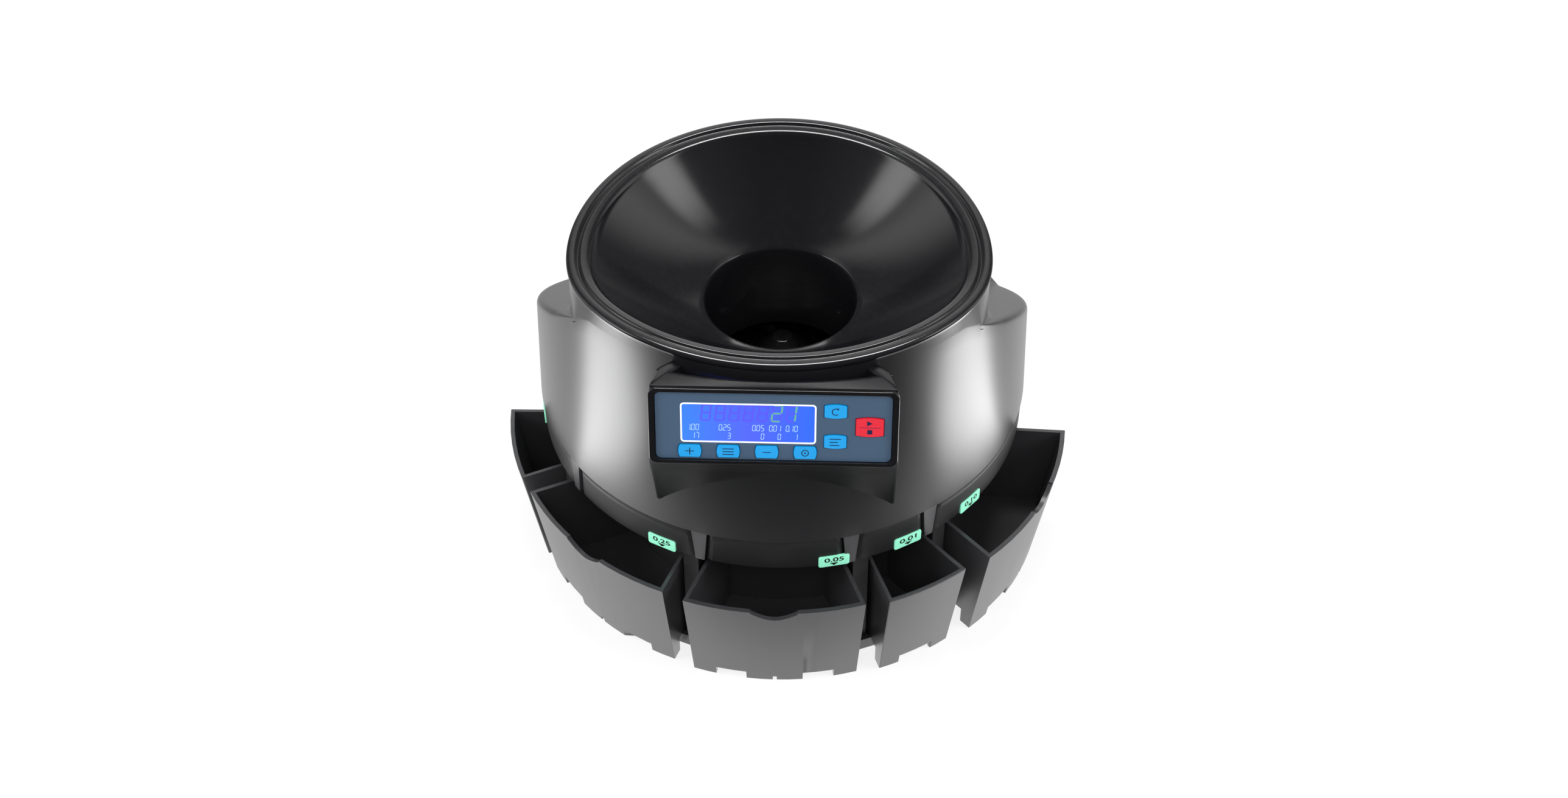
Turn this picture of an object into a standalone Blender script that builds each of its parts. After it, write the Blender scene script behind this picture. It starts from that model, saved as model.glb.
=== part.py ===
"""Coin counter and sorter: round housing, open hopper, display pod and five coin drawers.

Metres, +Z up, front towards -Y. Every piece is drawn about the machine's turning axis, and
the axis is then set so that the middle of the whole outline lies over the origin. Angles are
measured from the front, positive towards +X. The drawers stand as photographed, each pulled
out by its place in DRAWER_PULLS.
"""
import math

import bmesh
import bpy
from mathutils import Matrix, Vector

# General clearances
SEAT = 0.0003
OVERRUN = 0.006
TINY = 0.000001
FLAT_ANGLE = 0.05

# Base tray and feet
FOOT_H = 0.0032
FOOT_R = 0.009
FOOT_PLACE_INSET = 0.030
FOOT_ANGLES = (45.0, 135.0, 225.0, 315.0)
BASE_INSET = 0.0005
BASE_FLOOR_T = 0.003
BASE_RING_T = 0.0035
BASE_RING_TOP = 0.012
BOSS_R = 0.003
BOSS_TOP = 0.0117

# Housing wall
BODY_R = 0.158
BODY_FOOT_DRAFT = 0.0015
BODY_TOP_DRAFT = 0.006
BODY_EDGE_Z = 0.116
BODY_TOP_Z = 0.256
WALL_T = 0.003
BACK_FLAT_INSET = 0.0085
BACK_OVERHANG = 0.003

# Tub of the hopper, a smaller round set forward on the body
TUB_INSET = 0.0332
TUB_SHIFT = 0.058
SHOULDER_TIP_Y = 0.094
SHOULDER_TIP_DROP = 0.0184
SHOULDER_KNEE_Y = 0.062
SHOULDER_KNEE_Z = 0.1354

# Hopper rim and bowl
RIM_SEAT = 0.0005
RIM_RISE = 0.0095
RIM_H = 0.0048
RIM_BULGE = 0.0012
RIM_BEAD_W = 0.0045
RIM_GROOVE = 0.0009
RIM_W = 0.0134
RIM_DISH = 0.0022
BOWL_T = 0.0026
BOWL_CENTRE_Y = 0.036
BOWL_SAG = 0.007
BOWL_SHARES = (0.25, 0.5, 0.75)
THROAT_R = 0.046
THROAT_DEPTH = 0.050
THROAT_LOW_Z = 0.1445
CORNER_POWER = 26

# Drawers
DIVIDER_ANGLES = (-89.3, -64.3, -20.2, 20.2, 41.8, 87.3)
DRAWER_TOP_REACH = 0.0195
DRAWER_LOW_REACH = 0.0075
DRAWER_TOP_Z = 0.079
DRAWER_FOOT_Z = 0.0008
DRAWER_INNER_INSET = 0.050
DRAWER_WALL = 0.0025
DRAWER_FRONT = 0.003
DRAWER_FLOOR_T = 0.0025
DRAWER_SIDE_GAP = 0.0057
DRAWER_BASE_CLEAR = 0.0012
DRAWER_PULLS = (0.0040, 0.0032, 0.0050, 0.0076, 0.0115)
WIDE_DRAWERS = (False, True, True, False, True)
SKIRT_NOTCH_H = 0.0074
SPLIT_W = 0.0015
SPLIT_TOP_W = 0.0012
SPLIT_H = 0.0037
THUMB_W = 0.029
THUMB_D = 0.0075
THUMB_STEP = 0.0012
WIDE_NOTCH_SHARES = ((0.142, 0.329), (0.668, 0.857))
NARROW_NOTCH_SHARES = ((0.27, 0.73),)

# Outlet panels and posts
POST_ANGLES = (-88.2, -53.8, -17.0, 17.0, 36.7, 88.2)
PANEL_LOW_Z = 0.092
PANEL_RING_T = 0.0045
PANEL_PROUD = 0.0006
POST_TOP_W = 0.010
POST_LOW_W = 0.0058

# Drawer bay, deck and chutes
DIVIDER_CLEAR = 0.0006
BAY_WALL_T = 0.003
BAY_CLEAR = 0.0035
DECK_LOW_Z = 0.118
DECK_T = 0.003
CHUTE_INSET = 0.016
CHUTE_L = 0.026
CHUTE_W = 0.030
CHUTE_NARROW_W = 0.020
CHUTE_T = 0.002
CHUTE_CLEAR = 0.003

# Sorting ring, disc and drive
RAIL_INSET = 0.012
RAIL_W = 0.045
RAIL_T = 0.006
RAIL_WALL_T = 0.003
RAIL_WALL_TOP_Z = 0.1315
SLOT_WIDTHS = (0.0165, 0.0190, 0.0212, 0.0232, 0.0254)
SLOT_SETBACK = 0.0015
DISC_CLEAR = 0.0015
DISC_LOW_Z = 0.1245
DISC_T = 0.003
DISC_LIP_H = 0.0022
DISC_LIP_W = 0.003
HUB_R = 0.021
HUB_H = 0.014
HUB_TIP_R = 0.006
HUB_WAIST_SHARE = 0.8
FIN_ANGLE = 30.0
FIN_L = 0.034
FIN_T = 0.005
FIN_H = 0.008
SHAFT_R = 0.004
SHAFT_TOP_Z = 0.1385
SHAFT_LOW_Z = 0.098
BEARING_R = 0.011
BEARING_FLANGE_R = 0.015
BEARING_FLANGE_T = 0.0022
GEARBOX_R = 0.034
GEARBOX_H = 0.026
MOTOR_R = 0.021
MOTOR_H = 0.052
MOTOR_CAP_R = 0.008
MOTOR_CAP_H = 0.004

# Count sensor over the sorting ring
SENSOR_ANGLE = 100.0
SENSOR_W = 0.018
SENSOR_FOOT_CLEAR = 0.0015
SENSOR_FOOT_T = 0.0047
SENSOR_SETBACK = 0.005
SENSOR_TOP_Z = 0.1445
SENSOR_ARM_T = 0.0070

# Boards and power supply
BOARD_T = 0.0016
BOARD_BACK_INSET = 0.114
BOARD_L = 0.062
BOARD_W = 0.070
BOARD_X = 0.007
BOARD_INSET = 0.005
CHIP_H = 0.003
CHIP_W = 0.014
CHIP_L = 0.020
TRANSFORMER_W = 0.042
TRANSFORMER_L = 0.036
TRANSFORMER_H = 0.034
COIL_OUT = 0.005

# Display pod on the front wall
POD_SIDE_MARGIN = 0.0003
POD_TOP_TAPER = 0.0043
POD_HALF_BACK = 0.036
POD_FOOT_SPREAD = 0.0012
POD_TOP_DROP = 0.0085
POD_LIP_INSET = 0.0014
POD_LIP_SAG = 0.0075
POD_FACE_REACH = 0.008
POD_LIP_RISE = 0.0011847
POD_ANGLE = 14.6
POD_ROOT_SHARE = 0.8
POD_STEPS = 10
POD_UNDER_INSET = 0.0175
POD_UNDER_Z = 0.1335
PANEL_W = 0.1410
PANEL_H = 0.0486
PANEL_CORNER = 0.004
BEZEL_T = 0.0028
BEZEL_SIDE = 0.0036
BEZEL_EDGE = 0.0024
OVERLAY_T = 0.0009
OVERLAY_CORNER = 0.0035
POCKET_SIDE_CLEAR = 0.0002
POCKET_EDGE_CLEAR = 0.0005
LCD_SIZE_SHARES = (0.537589, 0.506173)
LCD_PLACE_SHARES = (-0.100709, 0.041152)
LCD_T = 0.0062
LCD_CORNER = 0.0015
DISPLAY_BOARD_DEPTH = 0.0070
DISPLAY_BOARD_SIDE = 0.003
DISPLAY_BOARD_EDGE = 0.0046
DISPLAY_BOARD_Y = -0.0018
KEY_GAP = 0.0004
KEY_FLANGE = 0.0008
KEY_DEPTH = 0.0036
KEY_RISE = 0.0008
KEY_TRAVEL = 0.0008
KEY_BOW = 0.0009
SWITCH_R = 0.0022
KEY_SHARES = (
    ("key_plus", -0.336170, -0.335391, 0.092908, 0.164609, "ends"),
    ("key_batch", -0.181560, -0.335391, 0.092908, 0.164609, "ends"),
    ("key_minus", -0.026950, -0.335391, 0.092908, 0.164609, "ends"),
    ("key_set", 0.127660, -0.335391, 0.092908, 0.164609, "ends"),
    ("key_clear", 0.247518, 0.222222, 0.089362, 0.185185, "tops"),
    ("key_report", 0.247518, -0.181070, 0.089362, 0.185185, "tops"),
    ("key_start_stop", 0.384397, 0.020576, 0.110638, 0.251029, "tops"),
)

# Power inlet and switch on the flat of the back
INLET_X = -0.019
INLET_Z = 0.040
INLET_W = 0.030
INLET_H = 0.022
INLET_LIP = 0.0022
INLET_DEPTH = 0.018
INLET_LIP_T = 0.0015
SOCKET_R = 0.0048
SOCKET_SHIFT = 0.0044
SOCKET_DEPTH = 0.013
PIN_R = 0.0012
ROCKER_X = 0.019
ROCKER_W = 0.010
ROCKER_H = 0.0150
ROCKER_T = 0.0070
ROCKER_DIP = 0.0012
ROCKER_GAP = 0.0007
ROCKER_ROOT_SHARE = 0.6
ROCKER_ANGLE = 12.0
ROCKER_FRAME = 0.003
ROCKER_POCKET = 0.0105

# Facets
ROUND_STEPS = 72
BOWL_STEPS = 64
SMALL_STEPS = 24

# Sizes that follow from the wall and the clearances
BODY_FOOT_R = BODY_R - BODY_FOOT_DRAFT
BODY_TOP_R = BODY_R - BODY_TOP_DRAFT
BASE_R = BODY_FOOT_R - BASE_INSET
FOOT_PLACE_R = BODY_R - FOOT_PLACE_INSET
BACK_FLAT_Y = BODY_R - BACK_FLAT_INSET
BACK_REACH = BACK_FLAT_Y + BACK_OVERHANG
TUB_R = BODY_R - TUB_INSET
SHOULDER_TIP_Z = BODY_TOP_Z - SHOULDER_TIP_DROP
RIM_FRONT_Z = BODY_TOP_Z + RIM_SEAT
RIM_BACK_Z = RIM_FRONT_Z + RIM_RISE
THROAT_TOP_Z = BODY_TOP_Z - THROAT_DEPTH
DRAWER_TOP_R = BODY_R + DRAWER_TOP_REACH
DRAWER_LOW_R = BODY_R + DRAWER_LOW_REACH
DRAWER_INNER_R = BODY_R - DRAWER_INNER_INSET
BAY_INNER_R = DRAWER_INNER_R - BAY_CLEAR
CHUTE_OUT_R = BODY_R - CHUTE_INSET
CHUTE_IN_R = CHUTE_OUT_R - CHUTE_L
RAIL_OUT_R = BODY_R - RAIL_INSET
RAIL_IN_R = RAIL_OUT_R - RAIL_W
SLOT_IN_R = CHUTE_IN_R + SLOT_SETBACK
DISC_R = RAIL_IN_R - DISC_CLEAR
SENSOR_FOOT_R = RAIL_OUT_R + SENSOR_FOOT_CLEAR
SENSOR_OUT_R = SENSOR_FOOT_R + SENSOR_FOOT_T
SENSOR_IN_R = RAIL_IN_R + SENSOR_SETBACK
BOARD_Y = BODY_R - BOARD_BACK_INSET
POD_HALF_FACE = PANEL_W / 2 + POD_SIDE_MARGIN
POD_HALF_TOP = POD_HALF_FACE - POD_TOP_TAPER
POD_HALF_LOW = POD_HALF_FACE + POD_FOOT_SPREAD
POD_TOP_Z = BODY_TOP_Z - POD_TOP_DROP
POD_FACE_Z = POD_TOP_Z - POD_LIP_RISE - PANEL_H / 2 * math.cos(math.radians(POD_ANGLE))
LCD_W, LCD_H = PANEL_W * LCD_SIZE_SHARES[0], PANEL_H * LCD_SIZE_SHARES[1]
LCD_X, LCD_Y = PANEL_W * LCD_PLACE_SHARES[0], PANEL_H * LCD_PLACE_SHARES[1]
KEYS = tuple((name, PANEL_W * x, PANEL_H * y, PANEL_W * wide, PANEL_H * tall, bow)
             for name, x, y, wide, tall, bow in KEY_SHARES)
POCKET_W = 2 * (max(abs(x) + wide / 2 for _, x, y, wide, tall, bow in KEYS)
                + KEY_FLANGE + POCKET_SIDE_CLEAR)
POCKET_H = 2 * (max(abs(y) + tall / 2 for _, x, y, wide, tall, bow in KEYS)
                + KEY_FLANGE + POCKET_EDGE_CLEAR)
DISPLAY_BOARD_W = POCKET_W - 2 * DISPLAY_BOARD_SIDE
DISPLAY_BOARD_H = POCKET_H - 2 * DISPLAY_BOARD_EDGE
POD_LIP_Y = BODY_R - POD_LIP_INSET
POD_FACE_Y = BODY_R + POD_FACE_REACH
POD_UNDER_Y = BODY_R - POD_UNDER_INSET
DRAWERS = tuple(("drawer_%d" % (number + 1), number, wide, pull)
                for number, (wide, pull) in enumerate(zip(WIDE_DRAWERS, DRAWER_PULLS)))
DIVIDER_T = 2 * (DRAWER_SIDE_GAP - DIVIDER_CLEAR)
CHUTE_LOW_Z = DRAWER_TOP_Z + CHUTE_CLEAR
FLOOR_TOP = FOOT_H + BASE_FLOOR_T
BODY_FOOT_Z = BASE_RING_TOP + SEAT
DECK_TOP = DECK_LOW_Z + DECK_T
DRAWER_UNDER = BASE_RING_TOP + SEAT

for old in list(bpy.data.objects):
    bpy.data.objects.remove(old, do_unlink=True)
for old in list(bpy.data.collections):
    bpy.data.collections.remove(old)
PARTS = bpy.data.collections.new("coin_counter")
CUTTERS = bpy.data.collections.new("cutters")
bpy.context.scene.collection.children.link(PARTS)
bpy.context.scene.collection.children.link(CUTTERS)
MACHINE = bpy.data.objects.new("machine_axis", None)
PARTS.objects.link(MACHINE)


def material(name, colour, roughness, metallic=0.0):
    """A plain Principled material."""
    made = bpy.data.materials.new(name)
    made.use_nodes = True
    shader = made.node_tree.nodes["Principled BSDF"]
    shader.inputs["Base Color"].default_value = (*colour, 1.0)
    shader.inputs["Roughness"].default_value = roughness
    shader.inputs["Metallic"].default_value = metallic
    made.diffuse_color = (*colour, 1.0)
    return made


CHARCOAL = material("charcoal_plastic", (0.16, 0.16, 0.17), 0.3)
SATIN_GREY = material("satin_grey_plastic", (0.20, 0.20, 0.21), 0.45)
GLOSS_BLACK = material("gloss_black_plastic", (0.012, 0.012, 0.014), 0.12)
BLACK = material("black_plastic", (0.018, 0.018, 0.020), 0.4)
RUBBER = material("rubber", (0.02, 0.02, 0.02), 0.8)
STEEL = material("steel", (0.6, 0.6, 0.6), 0.3, 1.0)
GREEN_BOARD = material("circuit_board", (0.02, 0.14, 0.06), 0.5)
OVERLAY = material("blue_grey_overlay", (0.065, 0.11, 0.18), 0.4)
KEY_BLUE = material("key_blue", (0.0, 0.30, 0.83), 0.4)
KEY_RED = material("key_red", (0.80, 0.02, 0.04), 0.4)
LCD_BLUE = material("lcd_glass", (0.10, 0.13, 0.95), 0.1)
COPPER = material("copper", (0.7, 0.32, 0.15), 0.35, 1.0)


def wall_radius(z):
    """Outer radius of the housing wall at height z."""
    if z < BODY_EDGE_Z:
        part = (z - BODY_FOOT_Z) / (BODY_EDGE_Z - BODY_FOOT_Z)
        return BODY_FOOT_R + (BODY_R - BODY_FOOT_R) * part
    part = (z - BODY_EDGE_Z) / (BODY_TOP_Z - BODY_EDGE_Z)
    return BODY_R + (BODY_TOP_R - BODY_R) * part


def rim_height(y):
    """Height of the hopper rim at a place y, as a tilted plane."""
    front = -BODY_TOP_R
    back = TUB_R - TUB_SHIFT
    return RIM_FRONT_Z + (RIM_BACK_Z - RIM_FRONT_Z) * (y - front) / (back - front)


def drawer_radius(z):
    """Outer radius of a drawer's leaning front at height z."""
    part = (z - DRAWER_FOOT_Z) / (DRAWER_TOP_Z - DRAWER_FOOT_Z)
    return DRAWER_LOW_R + (DRAWER_TOP_R - DRAWER_LOW_R) * part


def polar(radius, degrees):
    """Point at an angle measured from the front towards +X."""
    angle = math.radians(degrees)
    return (radius * math.sin(angle), -radius * math.cos(angle))


def arc(radius, start, end, count):
    """Points along an arc, both ends included."""
    return [polar(radius, start + (end - start) * i / (count - 1)) for i in range(count)]


def sector(inner, outer, start, end, offset, steps_out=11, steps_in=5):
    """Outline between two arcs whose sides run parallel to two rays, offset from them."""
    def lean(radius):
        return math.degrees(math.asin(offset / radius))
    points = arc(outer, start + lean(outer), end - lean(outer), steps_out)
    points += arc(inner, end - lean(inner), start + lean(inner), steps_in)
    return points


def rounded(width, height, corner, steps=4):
    """Rectangle about the origin with round corners."""
    points = []
    for sx, sy, first in ((1, 1, 0), (-1, 1, 90), (-1, -1, 180), (1, -1, 270)):
        cx, cy = sx * (width / 2 - corner), sy * (height / 2 - corner)
        for i in range(steps + 1):
            angle = math.radians(first + 90 * i / steps)
            points.append((cx + corner * math.cos(angle), cy + corner * math.sin(angle)))
    return points


def key_outline(width, height, grow, bowed):
    """Key shape: a rectangle with two opposite sides bowed outwards."""
    half_w, half_h = width / 2 + grow, height / 2 + grow
    points = []
    for side in range(4):
        for i in range(5):
            share = i / 5
            along = 1 - 2 * share
            bow = KEY_BOW * (along * along)
            if side == 0:
                x, y = half_w * along, half_h - (bow if bowed == "tops" else 0)
            elif side == 1:
                x, y = -half_w + (bow if bowed == "ends" else 0), half_h * along
            elif side == 2:
                x, y = -half_w * along, -half_h + (bow if bowed == "tops" else 0)
            else:
                x, y = half_w - (bow if bowed == "ends" else 0), -half_h * along
            if i == 0:
                edge_x = half_w - (KEY_BOW if bowed == "ends" else 0)
                edge_y = half_h - (KEY_BOW if bowed == "tops" else 0)
                x = edge_x if side in (0, 3) else -edge_x
                y = edge_y if side in (0, 1) else -edge_y
            points.append((x, y))
    return points


def tidy(bm):
    """Weld, drop slivers and point the faces outwards."""
    bmesh.ops.remove_doubles(bm, verts=bm.verts, dist=TINY)
    bmesh.ops.dissolve_degenerate(bm, dist=TINY, edges=bm.edges)
    bmesh.ops.recalc_face_normals(bm, faces=bm.faces)


def new_solid(name, bm):
    """Object from a bmesh, in the machine's own frame."""
    tidy(bm)
    mesh = bpy.data.meshes.new(name)
    bm.to_mesh(mesh)
    bm.free()
    made = bpy.data.objects.new(name, mesh)
    CUTTERS.objects.link(made)
    made.hide_render = True
    made.display_type = 'WIRE'
    return made


def read_mesh(holder):
    """Evaluated mesh of an object, welded, with the object removed."""
    bpy.context.view_layer.update()
    evaluated = holder.evaluated_get(bpy.context.evaluated_depsgraph_get())
    mesh = bpy.data.meshes.new_from_object(evaluated)
    bm = bmesh.new()
    bm.from_mesh(mesh)
    bmesh.ops.transform(bm, matrix=holder.matrix_world, verts=bm.verts)
    bpy.data.objects.remove(holder, do_unlink=True)
    return bm


def prism(name, outlines, low, high, matrix=None):
    """Flat outline, with any holes, given a thickness from low to high."""
    curve = bpy.data.curves.new(name, 'CURVE')
    curve.dimensions = '2D'
    curve.fill_mode = 'BOTH'
    curve.extrude = (high - low) / 2
    for points in outlines:
        spline = curve.splines.new('POLY')
        spline.points.add(len(points) - 1)
        for place, (x, y) in zip(spline.points, points):
            place.co = (x, y, 0, 1)
        spline.use_cyclic_u = True
    holder = bpy.data.objects.new(name + "_outline", curve)
    CUTTERS.objects.link(holder)
    holder.location.z = (low + high) / 2
    bm = read_mesh(holder)
    if matrix is not None:
        bmesh.ops.transform(bm, matrix=matrix, verts=bm.verts)
    return new_solid(name, bm)


def turned(name, profile, steps=ROUND_STEPS, centre=(0, 0), closed=False):
    """Profile of (radius, height) points turned about an upright axis."""
    mesh = bpy.data.meshes.new(name + "_profile")
    count = len(profile)
    edges = [(i, i + 1) for i in range(count - 1)] + ([(count - 1, 0)] if closed else [])
    mesh.from_pydata([(r, 0, z) for r, z in profile], edges, [])
    holder = bpy.data.objects.new(name + "_profile", mesh)
    CUTTERS.objects.link(holder)
    screw = holder.modifiers.new("turn", 'SCREW')
    screw.axis = 'Z'
    screw.steps = steps
    screw.render_steps = steps
    screw.use_merge_vertices = True
    screw.merge_threshold = TINY * 10
    holder.location = (centre[0], centre[1], 0)
    return new_solid(name, read_mesh(holder))


def box(name, low, high):
    """Box between two corners."""
    bm = bmesh.new()
    bmesh.ops.create_cube(bm, size=1)
    size = Vector(high) - Vector(low)
    middle = (Vector(high) + Vector(low)) / 2
    bmesh.ops.scale(bm, vec=size, verts=bm.verts)
    bmesh.ops.translate(bm, vec=middle, verts=bm.verts)
    return new_solid(name, bm)


def cylinder(name, radius, low, high, centre=(0, 0), steps=SMALL_STEPS, top=None):
    """Upright cylinder or cone."""
    bm = bmesh.new()
    bmesh.ops.create_cone(bm, cap_ends=True, segments=steps, radius1=radius,
                          radius2=radius if top is None else top, depth=high - low)
    bmesh.ops.translate(bm, vec=(centre[0], centre[1], (low + high) / 2), verts=bm.verts)
    return new_solid(name, bm)


def loft(name, rings, ring_closed=False):
    """Skin through rings of equal count, capped at both ends or closed on itself.

    Faces that aren't flat are split, so that every cut meets flat faces only.
    """
    bm = bmesh.new()
    rows = [[bm.verts.new(p) for p in ring] for ring in rings]
    count = len(rows[0])
    pairs = list(zip(rows, rows[1:])) + ([(rows[-1], rows[0])] if ring_closed else [])
    for lower, upper in pairs:
        for i in range(count):
            j = (i + 1) % count
            bm.faces.new((lower[i], lower[j], upper[j], upper[i]))
    if not ring_closed:
        bm.faces.new(rows[0])
        bm.faces.new(rows[-1])
    bmesh.ops.connect_verts_nonplanar(bm, angle_limit=math.radians(FLAT_ANGLE), faces=bm.faces)
    return new_solid(name, bm)


def combine(target, other, operation):
    """Boolean of two solids; the second one is used up."""
    step = target.modifiers.new("step", 'BOOLEAN')
    step.operation = operation
    step.solver = 'EXACT'
    step.object = other
    bpy.context.view_layer.update()
    evaluated = target.evaluated_get(bpy.context.evaluated_depsgraph_get())
    mesh = bpy.data.meshes.new_from_object(evaluated)
    target.modifiers.clear()
    bm = bmesh.new()
    bm.from_mesh(mesh)
    bmesh.ops.remove_doubles(bm, verts=bm.verts, dist=TINY)
    bmesh.ops.dissolve_limit(bm, angle_limit=math.radians(FLAT_ANGLE), verts=bm.verts,
                             edges=bm.edges)
    bm.to_mesh(target.data)
    bm.free()
    bpy.data.meshes.remove(mesh)
    bpy.data.objects.remove(other, do_unlink=True)
    return target


def cut(target, *others):
    """Takes each cutter out of the target."""
    for other in others:
        combine(target, other, 'DIFFERENCE')
    return target


def join(target, *others):
    """Unites solids that overlap."""
    for other in others:
        combine(target, other, 'UNION')
    return target


def finish(made, look, pivot=(0, 0, 0), smooth=30.0):
    """Moves the origin to the pivot, gives the material and files the piece as a part."""
    point = Vector(pivot)
    made.data.transform(Matrix.Translation(-point))
    made.location = point
    made.parent = MACHINE
    made.data.materials.clear()
    made.data.materials.append(look)
    made.data.shade_smooth()
    made.data.set_sharp_from_angle(angle=math.radians(smooth))
    made.hide_render = False
    made.display_type = 'TEXTURED'
    CUTTERS.objects.unlink(made)
    PARTS.objects.link(made)
    return made


def across(outline, half, name):
    """Outline of (y, z) points given a width along X, from -half to half."""
    turn = Matrix(((0, 0, 1, 0), (1, 0, 0, 0), (0, 1, 0, 0), (0, 0, 0, 1)))
    return prism(name, [outline], -half, half, turn)


def radial_frame(degrees):
    """Frame with x along the rim, y up and z outwards at an angle."""
    x, y = polar(1, degrees)
    return Matrix(((-y, 0, x, 0), (x, 0, y, 0), (0, 1, 0, 0), (0, 0, 0, 1)))


def flat_back(name, y):
    """Cutter that leaves a flat face at the back."""
    reach = BODY_R + OVERRUN
    return box(name, (-reach, y, -OVERRUN), (reach, reach + OVERRUN, BODY_TOP_Z + reach))


# Base

def make_base():
    ring_low = FOOT_H
    floor = cylinder("base_tray", BASE_R, ring_low, BASE_RING_TOP, steps=ROUND_STEPS)
    cut(floor, cylinder("base_hollow", BASE_R - BASE_RING_T, FLOOR_TOP,
                        BASE_RING_TOP + OVERRUN, steps=ROUND_STEPS))
    cut(floor, flat_back("base_flat", BACK_FLAT_Y))
    ledge_y = BACK_FLAT_Y - BASE_RING_T
    half = math.sqrt(BASE_R ** 2 - ledge_y ** 2) - BASE_RING_T
    join(floor, box("base_back_lip", (-half, ledge_y, ring_low + BASE_FLOOR_T / 2),
                    (half, BACK_FLAT_Y, BASE_RING_TOP)))
    for side in (-1, 1):
        for x in (BOARD_X + BOARD_INSET, BOARD_X + BOARD_W - BOARD_INSET):
            for y in (BOARD_Y + BOARD_INSET, BOARD_Y + BOARD_L - BOARD_INSET):
                join(floor, cylinder("boss", BOSS_R, ring_low + BASE_FLOOR_T / 2, BOSS_TOP,
                                     (side * x, y), 12))
    finish(floor, CHARCOAL)
    for number, angle in enumerate(FOOT_ANGLES, 1):
        x, y = polar(FOOT_PLACE_R, angle)
        foot = cylinder("foot_%d" % number, FOOT_R, 0, FOOT_H - SEAT, (x, y))
        finish(foot, RUBBER, (x, y, 0))


# Housing

def shoulder_cutter(name, drop, tub_radius):
    """Space above the sloping shoulder and outside the tub."""
    reach = BODY_R + OVERRUN
    slope = (SHOULDER_TIP_Z - SHOULDER_KNEE_Z) / (SHOULDER_TIP_Y + SHOULDER_KNEE_Y)
    front_z = SHOULDER_TIP_Z + slope * (reach - SHOULDER_TIP_Y)
    high = max(front_z, RIM_BACK_Z) + OVERRUN
    outline = [(-reach, high), (-reach, front_z - drop), (SHOULDER_KNEE_Y, SHOULDER_KNEE_Z - drop),
               (reach, SHOULDER_KNEE_Z - drop), (reach, high)]
    region = across(outline, reach, name)
    return cut(region, cylinder(name + "_tub", tub_radius, 0, high + OVERRUN,
                                (0, -TUB_SHIFT), ROUND_STEPS))


def top_cutter(name):
    """Space above the tilted top edge of the tub wall."""
    reach = BODY_R + OVERRUN
    drop = RIM_H + SEAT
    high = RIM_BACK_Z + reach
    outline = [(-reach, rim_height(-reach) - drop), (reach, rim_height(reach) - drop),
               (reach, high), (-reach, high)]
    return across(outline, reach, name)


def body_solid(name, inset, low, high):
    """Solid of the housing's outer surface moved inwards."""
    middle = BODY_EDGE_Z
    slope = (BODY_TOP_R - BODY_R) / (BODY_TOP_Z - BODY_EDGE_Z)
    return turned(name, [(0, high), (wall_radius(middle) + slope * (high - middle) - inset, high),
                         (BODY_R - inset, middle), (wall_radius(low) - inset, low), (0, low)])


def window_cutter(name, left, right):
    """Opening for one outlet panel, narrower at the top where the posts are wide."""
    rings = []
    inner, outer = BODY_R - PANEL_RING_T * 2 - WALL_T, BODY_R + OVERRUN
    drop = PANEL_LOW_Z - OVERRUN
    for z in (drop, BODY_EDGE_Z):
        share = (z - PANEL_LOW_Z) / (BODY_EDGE_Z - PANEL_LOW_Z)
        half = (POST_LOW_W + (POST_TOP_W - POST_LOW_W) * share) / 2
        rings.append([(x, y, z) for x, y in sector(inner, outer, left, right, half)])
    return loft(name, rings)


def pocket_frame():
    """Frame of the display face: x right, y up the face and z outwards."""
    return (Matrix.Translation((0, -POD_FACE_Y, POD_FACE_Z))
            @ Matrix.Rotation(math.radians(90 - POD_ANGLE), 4, 'X'))


def pocket_cutter(name, deep):
    """Opening behind the display for the board and the keys."""
    return prism(name, [rounded(POCKET_W, POCKET_H, PANEL_CORNER)], -deep, OVERRUN * 2,
                 pocket_frame())


def make_housing():
    body = body_solid("main_housing", 0, BODY_FOOT_Z, RIM_BACK_Z + OVERRUN)
    cut(body, shoulder_cutter("shoulder", 0, TUB_R))
    cut(body, top_cutter("tub_top"))
    cut(body, flat_back("housing_flat", BACK_FLAT_Y))
    inner = body_solid("housing_space", WALL_T, BODY_FOOT_Z - OVERRUN,
                       RIM_BACK_Z + OVERRUN * 2)
    cut(inner, shoulder_cutter("inner_shoulder", WALL_T, TUB_R - WALL_T))
    cut(inner, flat_back("inner_flat", BACK_FLAT_Y - WALL_T))
    cut(body, inner)
    front = sector(BODY_R / 2, BODY_R + OVERRUN * 2, DIVIDER_ANGLES[0], DIVIDER_ANGLES[-1],
                   -POST_LOW_W / 2, 25, 9)
    cut(body, prism("front_opening", [front], BODY_FOOT_Z - OVERRUN, PANEL_LOW_Z))
    for left, right in zip(POST_ANGLES, POST_ANGLES[1:]):
        cut(body, window_cutter("window", left, right))
    cut(body, pocket_cutter("housing_pocket", POD_FACE_Y / 5))
    for x, w, h in ((INLET_X, INLET_W, INLET_H),
                    (ROCKER_X, ROCKER_W + 2 * ROCKER_FRAME, ROCKER_H + 2 * ROCKER_FRAME)):
        cut(body, box("back_hole", (x - w / 2, BACK_FLAT_Y - WALL_T - OVERRUN, INLET_Z - h / 2),
                      (x + w / 2, BACK_FLAT_Y + OVERRUN, INLET_Z + h / 2)))
    finish(body, CHARCOAL)


# Hopper

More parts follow.
